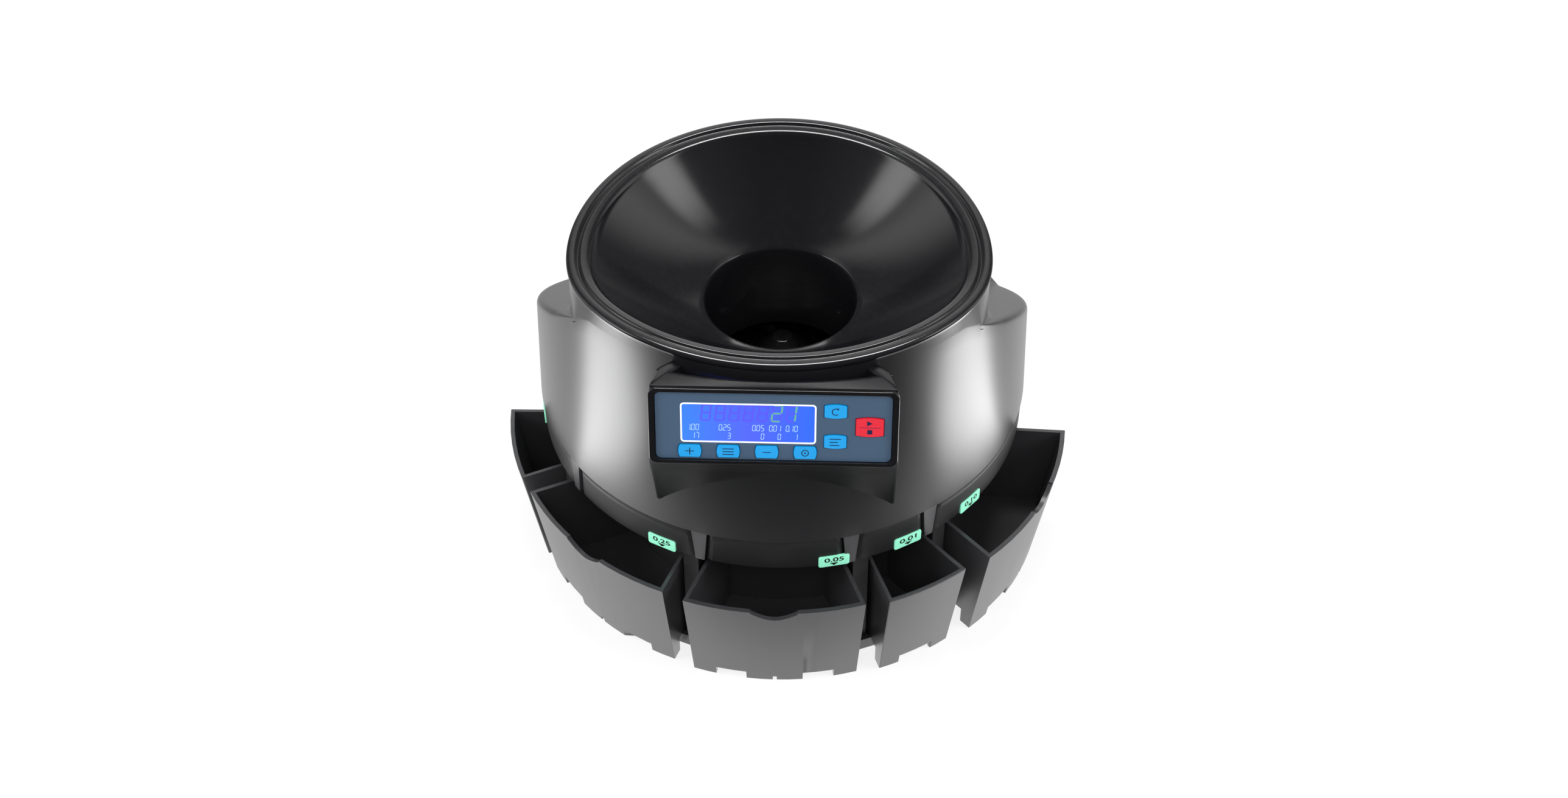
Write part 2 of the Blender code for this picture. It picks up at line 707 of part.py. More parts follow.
def rim_reach(direction, grow):
    """Distance from the bowl's centre to the rim outline, grown, in one direction."""
    x, y = math.sin(direction), -math.cos(direction)

    def hit(centre_y, radius):
        oy = -BOWL_CENTRE_Y - centre_y
        b = y * oy
        return -b + math.sqrt(b * b - oy * oy + radius * radius)
    wall = hit(0, wall_radius(RIM_FRONT_Z - RIM_H) + grow)
    tub = hit(-TUB_SHIFT, TUB_R + grow)
    return (wall ** -CORNER_POWER + tub ** -CORNER_POWER) ** (-1 / CORNER_POWER)


def bowl_ring(grow, drop):
    """Ring that follows the rim outline, a distance below the rim plane."""
    ring = []
    for i in range(BOWL_STEPS):
        angle = 2 * math.pi * i / BOWL_STEPS
        reach = rim_reach(angle, grow)
        x, y = reach * math.sin(angle), -BOWL_CENTRE_Y - reach * math.cos(angle)
        ring.append((x, y, rim_height(y) - drop))
    return ring


def throat_ring(radius, z):
    """Level ring about the bowl's centre."""
    ring = []
    for i in range(BOWL_STEPS):
        angle = 2 * math.pi * i / BOWL_STEPS
        ring.append((radius * math.sin(angle), -BOWL_CENTRE_Y - radius * math.cos(angle), z))
    return ring


def between(first, second, share, sag):
    """Ring part way between two rings, sagging below the straight line."""
    return [tuple(a + (b - a) * share - (sag if k == 2 else 0)
                  for k, (a, b) in enumerate(zip(p, q))) for p, q in zip(first, second)]


def make_hopper():
    edge = bowl_ring(-RIM_W, RIM_DISH + RIM_GROOVE)
    throat = throat_ring(THROAT_R, THROAT_TOP_Z)
    under_edge = bowl_ring(-RIM_W, RIM_DISH + RIM_GROOVE + BOWL_T)
    under_throat = throat_ring(THROAT_R + BOWL_T, THROAT_TOP_Z - BOWL_T)
    rings = [
        bowl_ring(-WALL_T, RIM_H),
        bowl_ring(0, RIM_H),
        bowl_ring(RIM_BULGE, RIM_H / 2),
        bowl_ring(RIM_BULGE / 2, RIM_H / 6),
        bowl_ring(-RIM_BEAD_W / 3, 0),
        bowl_ring(-RIM_BEAD_W, RIM_GROOVE / 3),
        bowl_ring(-RIM_BEAD_W - RIM_GROOVE, RIM_GROOVE * 2),
        bowl_ring(-RIM_BEAD_W - RIM_GROOVE * 2, RIM_GROOVE),
        edge,
        *(between(edge, throat, share, BOWL_SAG * (1 - (2 * share - 1) ** 2))
          for share in BOWL_SHARES),
        throat,
        throat_ring(THROAT_R, THROAT_LOW_Z),
        throat_ring(THROAT_R + BOWL_T, THROAT_LOW_Z),
        under_throat,
        between(under_edge, under_throat, sum(BOWL_SHARES) / len(BOWL_SHARES), BOWL_SAG),
        under_edge,
    ]
    finish(loft("hopper_bowl", rings, ring_closed=True), GLOSS_BLACK)


# Drawers

def make_drawer(name, first, wide, pull):
    left, right = DIVIDER_ANGLES[first], DIVIDER_ANGLES[first + 1]
    middle = (left + right) / 2
    steps = 13 if wide else 7

    def ring(z, inner, inset, offset):
        outline = sector(inner, drawer_radius(z) - inset, left, right, offset, steps)
        return [(x, y, z) for x, y in outline]
    body = loft(name, [ring(DRAWER_FOOT_Z, DRAWER_INNER_R, 0, DRAWER_SIDE_GAP),
                       ring(DRAWER_TOP_Z, DRAWER_INNER_R, 0, DRAWER_SIDE_GAP)])
    clear = sector(DRAWER_INNER_R - OVERRUN, BASE_R + DRAWER_BASE_CLEAR, left, right, 0, steps)
    cut(body, prism("base_space", [clear], -OVERRUN, DRAWER_UNDER))
    inset_side = DRAWER_SIDE_GAP + DRAWER_WALL
    cup_low = DRAWER_UNDER + DRAWER_FLOOR_T
    cut(body, loft("cup", [ring(cup_low, DRAWER_INNER_R + DRAWER_WALL, DRAWER_FRONT, inset_side),
                           ring(DRAWER_TOP_Z + OVERRUN, DRAWER_INNER_R + DRAWER_WALL,
                                DRAWER_FRONT, inset_side)]))
    cut(body, loft("skirt", [ring(-OVERRUN, DRAWER_INNER_R, DRAWER_FRONT, inset_side),
                             ring(DRAWER_UNDER, DRAWER_INNER_R, DRAWER_FRONT, inset_side)]))
    lean = math.degrees(math.asin(DRAWER_SIDE_GAP / DRAWER_LOW_R))
    start, span = left + lean, right - left - 2 * lean
    shares = WIDE_NOTCH_SHARES if wide else NARROW_NOTCH_SHARES
    for low, high in shares:
        wedge = sector(BASE_R + DRAWER_BASE_CLEAR, DRAWER_TOP_R + OVERRUN, start + span * low,
                       start + span * high, 0, 5, 3)
        cut(body, prism("skirt_notch", [wedge], -OVERRUN, DRAWER_FOOT_Z + SKIRT_NOTCH_H))
    if wide:
        frame = radial_frame(middle)
        low, high = DRAWER_FOOT_Z - OVERRUN, DRAWER_FOOT_Z + SPLIT_H
        split = [(-SPLIT_W, low), (SPLIT_W, low), (SPLIT_TOP_W, high), (-SPLIT_TOP_W, high)]
        cut(body, prism("split", [split], BASE_R + SEAT, DRAWER_TOP_R + OVERRUN, frame))
        half = THUMB_W / 2
        dip = []
        for i in range(13):
            share = i / 12 * 2 - 1
            dip.append((half * share, DRAWER_TOP_Z - THUMB_STEP
                        - (THUMB_D - THUMB_STEP) * math.cos(share * math.pi / 2)))
        dip += [(half, DRAWER_TOP_Z + OVERRUN), (-half, DRAWER_TOP_Z + OVERRUN)]
        cut(body, prism("thumb", [dip], DRAWER_LOW_R - DRAWER_FRONT * 2,
                        DRAWER_TOP_R + OVERRUN, frame))
    body.data.transform(Matrix.Translation((*polar(pull, middle), 0)))
    finish(body, SATIN_GREY, (*polar(DRAWER_INNER_R + pull, middle), DRAWER_UNDER))


# Drawer bay, outlet panels, deck and chutes

def make_bay():
    top = DECK_LOW_Z - SEAT
    low = FLOOR_TOP + SEAT
    ring = arc(BAY_INNER_R, DIVIDER_ANGLES[0], DIVIDER_ANGLES[-1], 25)
    ring += arc(BAY_INNER_R - BAY_WALL_T, DIVIDER_ANGLES[-1], DIVIDER_ANGLES[0], 25)
    bay = prism("drawer_bay", [ring], low, top)
    outer = BASE_R - BASE_RING_T - SEAT
    for angle in DIVIDER_ANGLES:
        half = DIVIDER_T / 2
        inner = BAY_INNER_R - BAY_WALL_T / 2
        wall = [(-half, inner), (half, inner), (half, outer), (-half, outer)]
        turn = Matrix.Rotation(math.radians(180 + angle), 4, 'Z')
        join(bay, prism("divider", [wall], low, top, turn))
    finish(bay, BLACK)


def make_outlet_panels():
    """One black ring behind the wall with five raised panels between the posts."""
    inner_wall = wall_radius(PANEL_LOW_Z) - WALL_T - SEAT
    top = DECK_LOW_Z - SEAT
    inner = BASE_R - BASE_RING_T + SEAT
    ring = arc(inner_wall, POST_ANGLES[0], POST_ANGLES[-1], 41)
    ring += arc(inner, POST_ANGLES[-1], POST_ANGLES[0], 41)
    panels = prism("outlet_panels", [ring], PANEL_LOW_Z, top)
    for left, right in zip(POST_ANGLES, POST_ANGLES[1:]):
        rings = []
        for z in (PANEL_LOW_Z, BODY_EDGE_Z - SEAT):
            share = (z - PANEL_LOW_Z) / (BODY_EDGE_Z - PANEL_LOW_Z)
            half = (POST_LOW_W + (POST_TOP_W - POST_LOW_W) * share) / 2 + SEAT
            outer = wall_radius(z) - PANEL_PROUD
            mid = (inner + inner_wall) / 2
            rings.append([(x, y, z) for x, y in sector(mid, outer, left, right, half, 13, 13)])
        join(panels, loft("panel", rings))
    finish(panels, BLACK)


def chute_width(wide):
    return CHUTE_W if wide else CHUTE_NARROW_W


def chute_outline(inset, wide):
    half = chute_width(wide) / 2 - inset
    return [(-half, CHUTE_IN_R + inset), (half, CHUTE_IN_R + inset),
            (half, CHUTE_OUT_R - inset), (-half, CHUTE_OUT_R - inset)]


def drawer_middle(first):
    return (DIVIDER_ANGLES[first] + DIVIDER_ANGLES[first + 1]) / 2


def make_deck():
    radius = wall_radius(DECK_TOP) - WALL_T - SEAT * 2
    deck = cylinder("mechanism_deck", radius, DECK_LOW_Z, DECK_TOP, steps=ROUND_STEPS)
    cut(deck, flat_back("deck_flat", BACK_FLAT_Y - WALL_T - SEAT * 2))
    cut(deck, cylinder("bearing_hole", BEARING_R + SEAT, DECK_LOW_Z - OVERRUN,
                       DECK_TOP + OVERRUN, steps=SMALL_STEPS))
    for name, first, wide, pull in DRAWERS:
        turn = Matrix.Rotation(math.radians(180 + drawer_middle(first)), 4, 'Z')
        cut(deck, prism("deck_hole", [chute_outline(CHUTE_T, wide)], DECK_LOW_Z - OVERRUN,
                        DECK_TOP + OVERRUN, turn))
    finish(deck, BLACK)
    for number, (name, first, wide, pull) in enumerate(DRAWERS, 1):
        turn = Matrix.Rotation(math.radians(180 + drawer_middle(first)), 4, 'Z')
        chute = prism("coin_chute_%d" % number,
                      [chute_outline(0, wide), chute_outline(CHUTE_T, wide)],
                      CHUTE_LOW_Z, DECK_LOW_Z - SEAT, turn)
        finish(chute, BLACK)


# Sorting ring, disc and drive

def make_sorter():
    low = DECK_TOP + SEAT
    high = low + RAIL_T
    rail = turned("sorting_ring", [(RAIL_IN_R, high), (RAIL_OUT_R - RAIL_WALL_T, high),
                                   (RAIL_OUT_R - RAIL_WALL_T, RAIL_WALL_TOP_Z),
                                   (RAIL_OUT_R, RAIL_WALL_TOP_Z), (RAIL_OUT_R, low),
                                   (RAIL_IN_R, low)], closed=True)
    for width, (name, first, wide, pull) in zip(SLOT_WIDTHS, DRAWERS):
        half = min(width, chute_width(wide) - 2 * CHUTE_T) / 2
        slot = [(-half, SLOT_IN_R + CHUTE_T), (half, SLOT_IN_R + CHUTE_T),
                (half, SLOT_IN_R + width), (-half, SLOT_IN_R + width)]
        turn = Matrix.Rotation(math.radians(180 + drawer_middle(first)), 4, 'Z')
        cut(rail, prism("slot", [slot], low - OVERRUN, high + OVERRUN, turn))
    finish(rail, STEEL)

    top = DISC_LOW_Z + DISC_T
    disc = turned("sorting_disc", [(SHAFT_R + SEAT, top), (DISC_R - DISC_LIP_W, top),
                                   (DISC_R - DISC_LIP_W, top + DISC_LIP_H),
                                   (DISC_R, top + DISC_LIP_H), (DISC_R, DISC_LOW_Z),
                                   (SHAFT_R + SEAT, DISC_LOW_Z)], closed=True)
    finish(disc, STEEL, (0, 0, DISC_LOW_Z))

    hub_low = top + SEAT
    hub_top = hub_low + HUB_H
    waist = (HUB_R * HUB_WAIST_SHARE, hub_low + HUB_H / 3)
    hub = turned("disc_hub", [(0, hub_top), (HUB_TIP_R, hub_top), waist,
                              (HUB_R, hub_low), (SHAFT_R + SEAT, hub_low),
                              (SHAFT_R + SEAT, SHAFT_TOP_Z + SEAT), (0, SHAFT_TOP_Z + SEAT)],
                 SMALL_STEPS)
    for turn in (0, 180):
        fin = prism("fin", [[(-FIN_T / 2, SHAFT_R * 2), (FIN_T / 2, SHAFT_R * 2),
                             (FIN_T / 2, FIN_L), (-FIN_T / 2, FIN_L)]], hub_low,
                    hub_low + FIN_H, Matrix.Rotation(math.radians(turn + FIN_ANGLE), 4, 'Z'))
        join(hub, fin)
    finish(hub, GLOSS_BLACK, (0, 0, hub_low))

    finish(cylinder("drive_shaft", SHAFT_R, SHAFT_LOW_Z, SHAFT_TOP_Z, steps=SMALL_STEPS),
           STEEL, (0, 0, SHAFT_LOW_Z))
    bearing = turned("shaft_bearing", [
        (SHAFT_R + SEAT, DECK_TOP + SEAT + BEARING_FLANGE_T),
        (BEARING_FLANGE_R, DECK_TOP + SEAT + BEARING_FLANGE_T),
        (BEARING_FLANGE_R, DECK_TOP + SEAT), (BEARING_R, DECK_TOP + SEAT),
        (BEARING_R, DECK_LOW_Z), (SHAFT_R + SEAT, DECK_LOW_Z)], SMALL_STEPS, closed=True)
    finish(bearing, STEEL)

    box_top = DECK_LOW_Z - SEAT
    box_low = box_top - GEARBOX_H
    well = SHAFT_LOW_Z - SEAT
    gearbox = turned("gearbox", [(SHAFT_R + SEAT, box_top), (GEARBOX_R, box_top),
                                 (GEARBOX_R, box_low), (0, box_low), (0, well),
                                 (SHAFT_R + SEAT, well)], 36, closed=True)
    finish(gearbox, BLACK)
    motor_top = box_low - SEAT
    motor_low = motor_top - MOTOR_H
    motor = turned("motor", [(0, motor_top), (MOTOR_R, motor_top), (MOTOR_R, motor_low),
                             (MOTOR_CAP_R, motor_low), (MOTOR_CAP_R, motor_low - MOTOR_CAP_H),
                             (0, motor_low - MOTOR_CAP_H)], 36)
    finish(motor, STEEL)


def make_sensor():
    """Count sensor: a foot on the deck and an arm over the sorting ring."""
    low = DECK_TOP + SEAT
    arm_low = SENSOR_TOP_Z - SENSOR_ARM_T
    outline = [(SENSOR_FOOT_R, low), (SENSOR_OUT_R, low), (SENSOR_OUT_R, SENSOR_TOP_Z),
               (SENSOR_IN_R, SENSOR_TOP_Z), (SENSOR_IN_R, arm_low), (SENSOR_FOOT_R, arm_low)]
    angle = math.radians(SENSOR_ANGLE)
    out = Vector((math.sin(angle), -math.cos(angle), 0))
    side = Vector((out.y, -out.x, 0))
    frame = Matrix(((out.x, 0, side.x, 0), (out.y, 0, side.y, 0), (0, 1, 0, 0), (0, 0, 0, 1)))
    finish(prism("count_sensor", [outline], -SENSOR_W / 2, SENSOR_W / 2, frame), BLACK)


def make_boards():
    low = BOSS_TOP + SEAT
    high = low + BOARD_T
    for name, side in (("control_board", -1), ("power_board", 1)):
        near, far = side * BOARD_X, side * (BOARD_X + BOARD_W)
        board = box(name, (min(near, far), BOARD_Y, low), (max(near, far), BOARD_Y + BOARD_L, high))
        middle_x = (near + far) / 2
        if name == "control_board":
            for row in (0, 1):
                y = BOARD_Y + BOARD_INSET * 2 + row * (CHIP_L + BOARD_INSET)
                join(board, box("chip", (middle_x - CHIP_W / 2, y, high - BOARD_T / 2),
                                (middle_x + CHIP_W / 2, y + CHIP_L, high + CHIP_H)))
        else:
            y = BOARD_Y + BOARD_L - BOARD_INSET * 2
            for step in (0, 1):
                x = near + side * (BOARD_INSET * 2 + step * CHIP_L)
                join(board, cylinder("capacitor", CHIP_W / 3, high - BOARD_T / 2,
                                     high + CHIP_L, (x, y), 16))
        finish(board, GREEN_BOARD)
    x0 = BOARD_X + (BOARD_W - TRANSFORMER_W) / 2
    y0 = BOARD_Y + BOARD_INSET
    base = high + SEAT
    core = box("transformer", (x0, y0 + COIL_OUT, base),
               (x0 + TRANSFORMER_W, y0 + TRANSFORMER_L - COIL_OUT, base + TRANSFORMER_H))
    join(core, box("coil", (x0 + COIL_OUT, y0, base + COIL_OUT),
                   (x0 + TRANSFORMER_W - COIL_OUT, y0 + TRANSFORMER_L,
                    base + TRANSFORMER_H - COIL_OUT)))
    finish(core, COPPER)


# Display pod

def make_pod():
    """Wedge on the front wall, cut to the wall behind it."""
    tilt = math.radians(POD_ANGLE)
    half_h = PANEL_H / 2
    top = (-POD_FACE_Y + half_h * math.sin(tilt), POD_FACE_Z + half_h * math.cos(tilt))
    low = (-POD_FACE_Y - half_h * math.sin(tilt), POD_FACE_Z - half_h * math.cos(tilt))
    inner_y = -wall_radius(POD_UNDER_Z) * POD_ROOT_SHARE
    levels = ((POD_HALF_LOW, -POD_UNDER_Y, 0, POD_UNDER_Z), (POD_HALF_LOW, low[0], 0, low[1]),
              (POD_HALF_FACE, top[0], 0, top[1]),
              (POD_HALF_TOP, -POD_LIP_Y, POD_LIP_SAG, POD_TOP_Z))
    shares = [2 * i / POD_STEPS - 1 for i in range(POD_STEPS + 1)]
    rings = []
    for half, y, sag, z in levels:
        rise = (z - POD_UNDER_Z) / (POD_TOP_Z - POD_UNDER_Z)
        back = POD_HALF_LOW + (POD_HALF_BACK - POD_HALF_LOW) * rise
        ring = [(half * share, y + sag * share * share, z) for share in shares]
        rings.append(ring + [(back * share, inner_y, z) for share in reversed(shares)])
    pod = loft("display_housing", rings)
    slope = (BODY_TOP_R - BODY_R) / (BODY_TOP_Z - BODY_EDGE_Z)
    high = BODY_TOP_Z + OVERRUN
    cut(pod, turned("pod_wall", [(0, high), (BODY_TOP_R + slope * OVERRUN + SEAT, high),
                                 (BODY_R + SEAT, BODY_EDGE_Z), (0, BODY_EDGE_Z)]))
    cut(pod, pocket_cutter("pod_pocket", POD_FACE_Y / 5))
    finish(pod, GLOSS_BLACK)


def make_panel():
    frame = pocket_frame()

    def shifted(points, x, y):
        return [(px + x, py + y) for px, py in points]
    window_w, window_h = PANEL_W - 2 * BEZEL_SIDE, PANEL_H - 2 * BEZEL_EDGE
    bezel = prism("display_bezel", [rounded(PANEL_W, PANEL_H, PANEL_CORNER),
                                    rounded(window_w, window_h, OVERLAY_CORNER)],
                  SEAT, SEAT + BEZEL_T, frame)
    finish(bezel, GLOSS_BLACK)
    holes = [shifted(rounded(LCD_W, LCD_H, LCD_CORNER), LCD_X, LCD_Y)]
    for name, x, y, w, h, bowed in KEYS:
        holes.append(shifted(key_outline(w, h, KEY_GAP, bowed), x, y))
    overlay = prism("keypad_overlay", [rounded(window_w - 2 * SEAT, window_h - 2 * SEAT,
                                               OVERLAY_CORNER - SEAT)] + holes,
                    SEAT, SEAT + OVERLAY_T, frame)
    finish(overlay, OVERLAY)
    lcd = prism("lcd_module", [shifted(rounded(LCD_W - 2 * SEAT, LCD_H - 2 * SEAT, LCD_CORNER),
                                       LCD_X, LCD_Y)],
                SEAT + OVERLAY_T - LCD_T, SEAT + OVERLAY_T, frame)
    finish(lcd, LCD_BLUE)
    board_top = SEAT + OVERLAY_T - LCD_T - SEAT
    board = prism("display_board", [shifted(rounded(DISPLAY_BOARD_W, DISPLAY_BOARD_H,
                                                    LCD_CORNER), 0, DISPLAY_BOARD_Y)],
                  board_top - BOARD_T, board_top, frame)
    pressed = -KEY_DEPTH - KEY_TRAVEL - SEAT
    for name, x, y, w, h, bowed in KEYS:
        dome = cylinder("dome", SWITCH_R, board_top - BOARD_T / 2, pressed, (x, y), 12)
        dome.data.transform(frame)
        join(board, dome)
    finish(board, GREEN_BOARD)
    for name, x, y, w, h, bowed in KEYS:
        rings = []
        for grow, level in ((KEY_FLANGE, -KEY_DEPTH), (KEY_FLANGE, 0), (0, 0),
                            (0, SEAT + OVERLAY_T + KEY_RISE)):
            rings.append([frame @ Vector((px + x, py + y, level))
                          for px, py in key_outline(w, h, grow, bowed)])
        key = loft(name, rings)
        pivot = frame @ Vector((x, y, 0))
        finish(key, KEY_RED if name == "key_start_stop" else KEY_BLUE, pivot)


# Inlet and switch at the back

def make_back():
    lip = BACK_FLAT_Y + SEAT
    face = lip + INLET_LIP_T
    half_w, half_h = INLET_W / 2 - SEAT, INLET_H / 2 - SEAT
    body = box("power_inlet", (INLET_X - half_w, face - INLET_DEPTH, INLET_Z - half_h),
               (INLET_X + half_w, face - INLET_LIP_T / 2, INLET_Z + half_h))
    join(body, box("inlet_lip", (INLET_X - half_w - INLET_LIP, lip, INLET_Z - half_h - INLET_LIP),
                   (INLET_X + half_w + INLET_LIP, face, INLET_Z + half_h + INLET_LIP)))
    back = Matrix(((-1, 0, 0, INLET_X), (0, 0, 1, 0), (0, 1, 0, INLET_Z), (0, 0, 0, 1)))
    eight = []
    for side, first in ((1, -90), (-1, 90)):
        for i in range(9):
            angle = math.radians(first + 180 * i / 8)
            eight.append((side * SOCKET_SHIFT + SOCKET_R * math.cos(angle),
                          SOCKET_R * math.sin(angle)))
    cut(body, prism("socket", [eight], face - SOCKET_DEPTH, face + OVERRUN, back))
    for side in (-1, 1):
        pin = cylinder("pin", PIN_R, face - SOCKET_DEPTH - OVERRUN / 2, face - INLET_LIP,
                       (side * SOCKET_SHIFT, 0), 12)
        pin.data.transform(back)
        join(body, pin)
    finish(body, BLACK)

    half_w = ROCKER_W / 2 + ROCKER_FRAME
    half_h = ROCKER_H / 2 + ROCKER_FRAME
    frame = box("switch_frame", (ROCKER_X - half_w + SEAT, face - INLET_DEPTH, INLET_Z - half_h + SEAT),
                (ROCKER_X + half_w - SEAT, face - INLET_LIP_T / 2, INLET_Z + half_h - SEAT))
    join(frame, box("switch_lip", (ROCKER_X - half_w - INLET_LIP, lip, INLET_Z - half_h - INLET_LIP),
                    (ROCKER_X + half_w + INLET_LIP, face, INLET_Z + half_h + INLET_LIP)))
    gap_w, gap_h = ROCKER_W / 2 + ROCKER_GAP, ROCKER_H / 2 + ROCKER_GAP
    cut(frame, box("rocker_space", (ROCKER_X - gap_w, face - ROCKER_POCKET, INLET_Z - gap_h),
                   (ROCKER_X + gap_w, face + OVERRUN, INLET_Z + gap_h)))
    finish(frame, BLACK)
    half = ROCKER_H / 2
    top = ROCKER_T / 2
    root = half * ROCKER_ROOT_SHARE
    outline = [(-top, -root), (-top, root), (0, half), (top, half),
               (top - ROCKER_DIP, 0), (top, -half), (0, -half)]
    rocker = across(outline, ROCKER_W / 2, "power_rocker")
    rocker.data.transform(Matrix.Rotation(math.radians(-ROCKER_ANGLE / 2), 4, 'X'))
    reach = math.hypot(top, half)
    lean = math.atan2(top, half) + math.radians(ROCKER_ANGLE / 2)
    pivot_y = BACK_REACH - reach * math.sin(lean)
    pivot = Vector((ROCKER_X, pivot_y, INLET_Z))
    rocker.data.transform(Matrix.Translation(pivot))
    finish(rocker, BLACK, pivot)


def centre_outline():
    """Moves the machine so that the middle of its outline lies over the origin."""
    bpy.context.view_layer.update()
    corners = [part.matrix_world @ Vector(corner) for part in PARTS.objects
               if part.type == 'MESH' for corner in part.bound_box]
    MACHINE.location.x -= (min(c.x for c in corners) + max(c.x for c in corners)) / 2
    MACHINE.location.y -= (min(c.y for c in corners) + max(c.y for c in corners)) / 2


make_base()
make_housing()
make_hopper()
for drawer in DRAWERS:
    make_drawer(*drawer)
make_bay()
make_outlet_panels()
make_deck()
make_sorter()
make_sensor()
make_boards()
make_pod()
make_panel()
make_back()
centre_outline()
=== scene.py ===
"""Looks of the coin counter: smooth shells, panels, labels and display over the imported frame.

Metres, +Z up, front towards -Y. Shapes are worked out about the machine's turning axis and
then moved to where the drive shaft stands. Angles are measured from the front towards +X.
"""
import math

import bmesh
import bpy
import numpy as np
from mathutils import Matrix, Vector


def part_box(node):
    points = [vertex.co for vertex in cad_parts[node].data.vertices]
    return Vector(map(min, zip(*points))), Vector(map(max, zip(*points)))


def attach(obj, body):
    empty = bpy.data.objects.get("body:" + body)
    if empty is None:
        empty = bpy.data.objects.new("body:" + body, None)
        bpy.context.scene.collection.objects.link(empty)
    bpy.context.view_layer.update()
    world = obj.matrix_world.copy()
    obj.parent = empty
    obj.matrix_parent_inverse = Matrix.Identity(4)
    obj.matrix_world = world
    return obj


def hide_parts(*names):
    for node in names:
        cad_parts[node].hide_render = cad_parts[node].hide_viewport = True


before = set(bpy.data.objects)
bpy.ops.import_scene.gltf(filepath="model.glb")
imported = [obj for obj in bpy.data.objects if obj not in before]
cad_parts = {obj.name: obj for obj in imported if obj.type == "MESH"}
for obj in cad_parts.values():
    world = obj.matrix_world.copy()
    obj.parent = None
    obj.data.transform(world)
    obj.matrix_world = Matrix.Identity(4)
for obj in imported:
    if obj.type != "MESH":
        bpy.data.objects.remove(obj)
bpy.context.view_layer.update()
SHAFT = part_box("drive_shaft")
AXIS = np.array(((SHAFT[0].x + SHAFT[1].x) / 2, (SHAFT[0].y + SHAFT[1].y) / 2, 0.0))

# Points closer than this are joined
JOIN_REACH = 0.000004

# Housing wall, tub and shoulder
BODY_FOOT_R, BODY_R, BODY_TOP_R = 0.1565, 0.158, 0.152
BODY_FOOT_Z, BODY_EDGE_Z, BODY_TOP_Z = 0.0123, 0.116, 0.256
SHELL_T, SHELL_EDGE = 0.0026, 0.0011
BACK_FLAT_Y = 0.1495
TUB_R, TUB_SHIFT = 0.1248, 0.058
SHOULDER_Z, SHOULDER_SLOPE, SHOULDER_LOW_Z = 0.17602, 0.655, 0.1354
SHOULDER_ROUND, TUB_ROUND, SHOULDER_FOLD, UNDER_RIM = 0.0056, 0.0045, 0.0016, 0.010
# Shares of the shoulder's width that its outer and inner round take at most
SHOULDER_SHARES = (0.52, 0.42)
PANEL_LOW_Z = 0.092
POSTS = np.array((-88.2, -53.8, -17.0, 17.0, 36.7, 88.2))
POST_TOP_W, POST_LOW_W = 0.010, 0.0058
OPENING_ENDS, WALL_STEP = (-90.35, 88.35), 0.75
WALL_ROWS_Z = np.array((BODY_FOOT_Z, 0.030, 0.060, PANEL_LOW_Z, 0.096, 0.100, 0.104, 0.108, 0.112,
                        BODY_EDGE_Z))

# Hopper rim, throat and cone
RIM_FRONT_Z, RIM_BACK_Z, RIM_H = 0.2565, 0.266, 0.0048
BOWL_CENTRE_Y = 0.036
THROAT_R, THROAT_TOP_Z, THROAT_LOW_Z, BOWL_T = 0.046, 0.206, 0.1445, 0.0026
CORNER_POWER = 26
THROAT_ROUND, THROAT_STEPS_Z, THROAT_END = 0.005, (0.165, 0.185), 0.0004
CONE_SAG, CONE_EDGE, CONE_UNDER, NECK_T = 0.0070, 0.0142, 0.0092, 0.0018
# Rim section as growth outwards and drop below the rim plane, with the rounds at its corners
RIM_SECTION = ((-0.0028, 0.0048), (0.0002, 0.0048), (0.0014, 0.0024), (0.0004, 0.0001),
               (-0.0042, 0.0001), (-0.0052, 0.0020), (-0.0064, 0.0020), (-0.0074, 0.0007),
               (-0.0114, 0.0016), (-0.0128, 0.0028), (-CONE_EDGE, 0.0060))
RIM_ROUNDS = (0.0006, 0.0030, 0.0030, 0.0018, 0.0008, 0.0008, 0.0011, 0.0012, 0.0012)

# Display pod: half width, front y, bow and height of its levels
POD_UNDER = (0.0720, -0.1405, 0.0, 0.1335)
POD_LIP = (0.0665, -0.1566, 0.0075, 0.2475)
# Trough behind the lip: half width, front y, bow, drop below the lip, half width at the wall
POD_TROUGH = ((0.0655, -0.1548, 0.0072, 0.0006, 0.0365), (0.0648, -0.1540, 0.0070, 0.0062, 0.0365),
              (0.0560, -0.1380, 0.0, 0.0070, 0.036))
POD_ROUNDS = (0.0030, 0.0008, 0.0012, 0.0008, 0.0008)
POD_FOOT_HALF, POD_NECK_HALF, POD_CORNER, POD_ROW_H = 0.072, 0.036, 0.0030, 0.0035
POD_SCOOP, POD_SCOOP_H, POD_SCOOP_POWER = 0.0026, 0.018, 0.7
POD_WALL_T, POD_SINK, POD_ROOT_SHARE = 0.0013, 0.0021, 0.8
POCKET_HALF, POCKET_INSET = 0.062, 0.0040
POD_FACE_Y, POD_FACE_Z, POD_TILT = 0.166, 0.2228, 14.6
POD_HALF_FACE = 0.0708
PANEL_W, PANEL_H, PANEL_CORNER = 0.1410, 0.0486, 0.0046
WINDOW_W, WINDOW_H, WINDOW_CORNER = 0.1338, 0.0438, 0.0035
BEZEL_LOW, BEZEL_TOP, BEZEL_W, BEZEL_CORNER = 0.0003, 0.0031, 0.0024, 0.0012
BEZEL_ROUNDS, BEZEL_TURN_IN, BEZEL_DROP = (0.0009, 0.0005), 0.0023, 0.0003
OVERLAY_TOP = 0.0012
LCD_W, LCD_H, LCD_X, LCD_Y = 0.0758, 0.0246, -0.0142, 0.0020
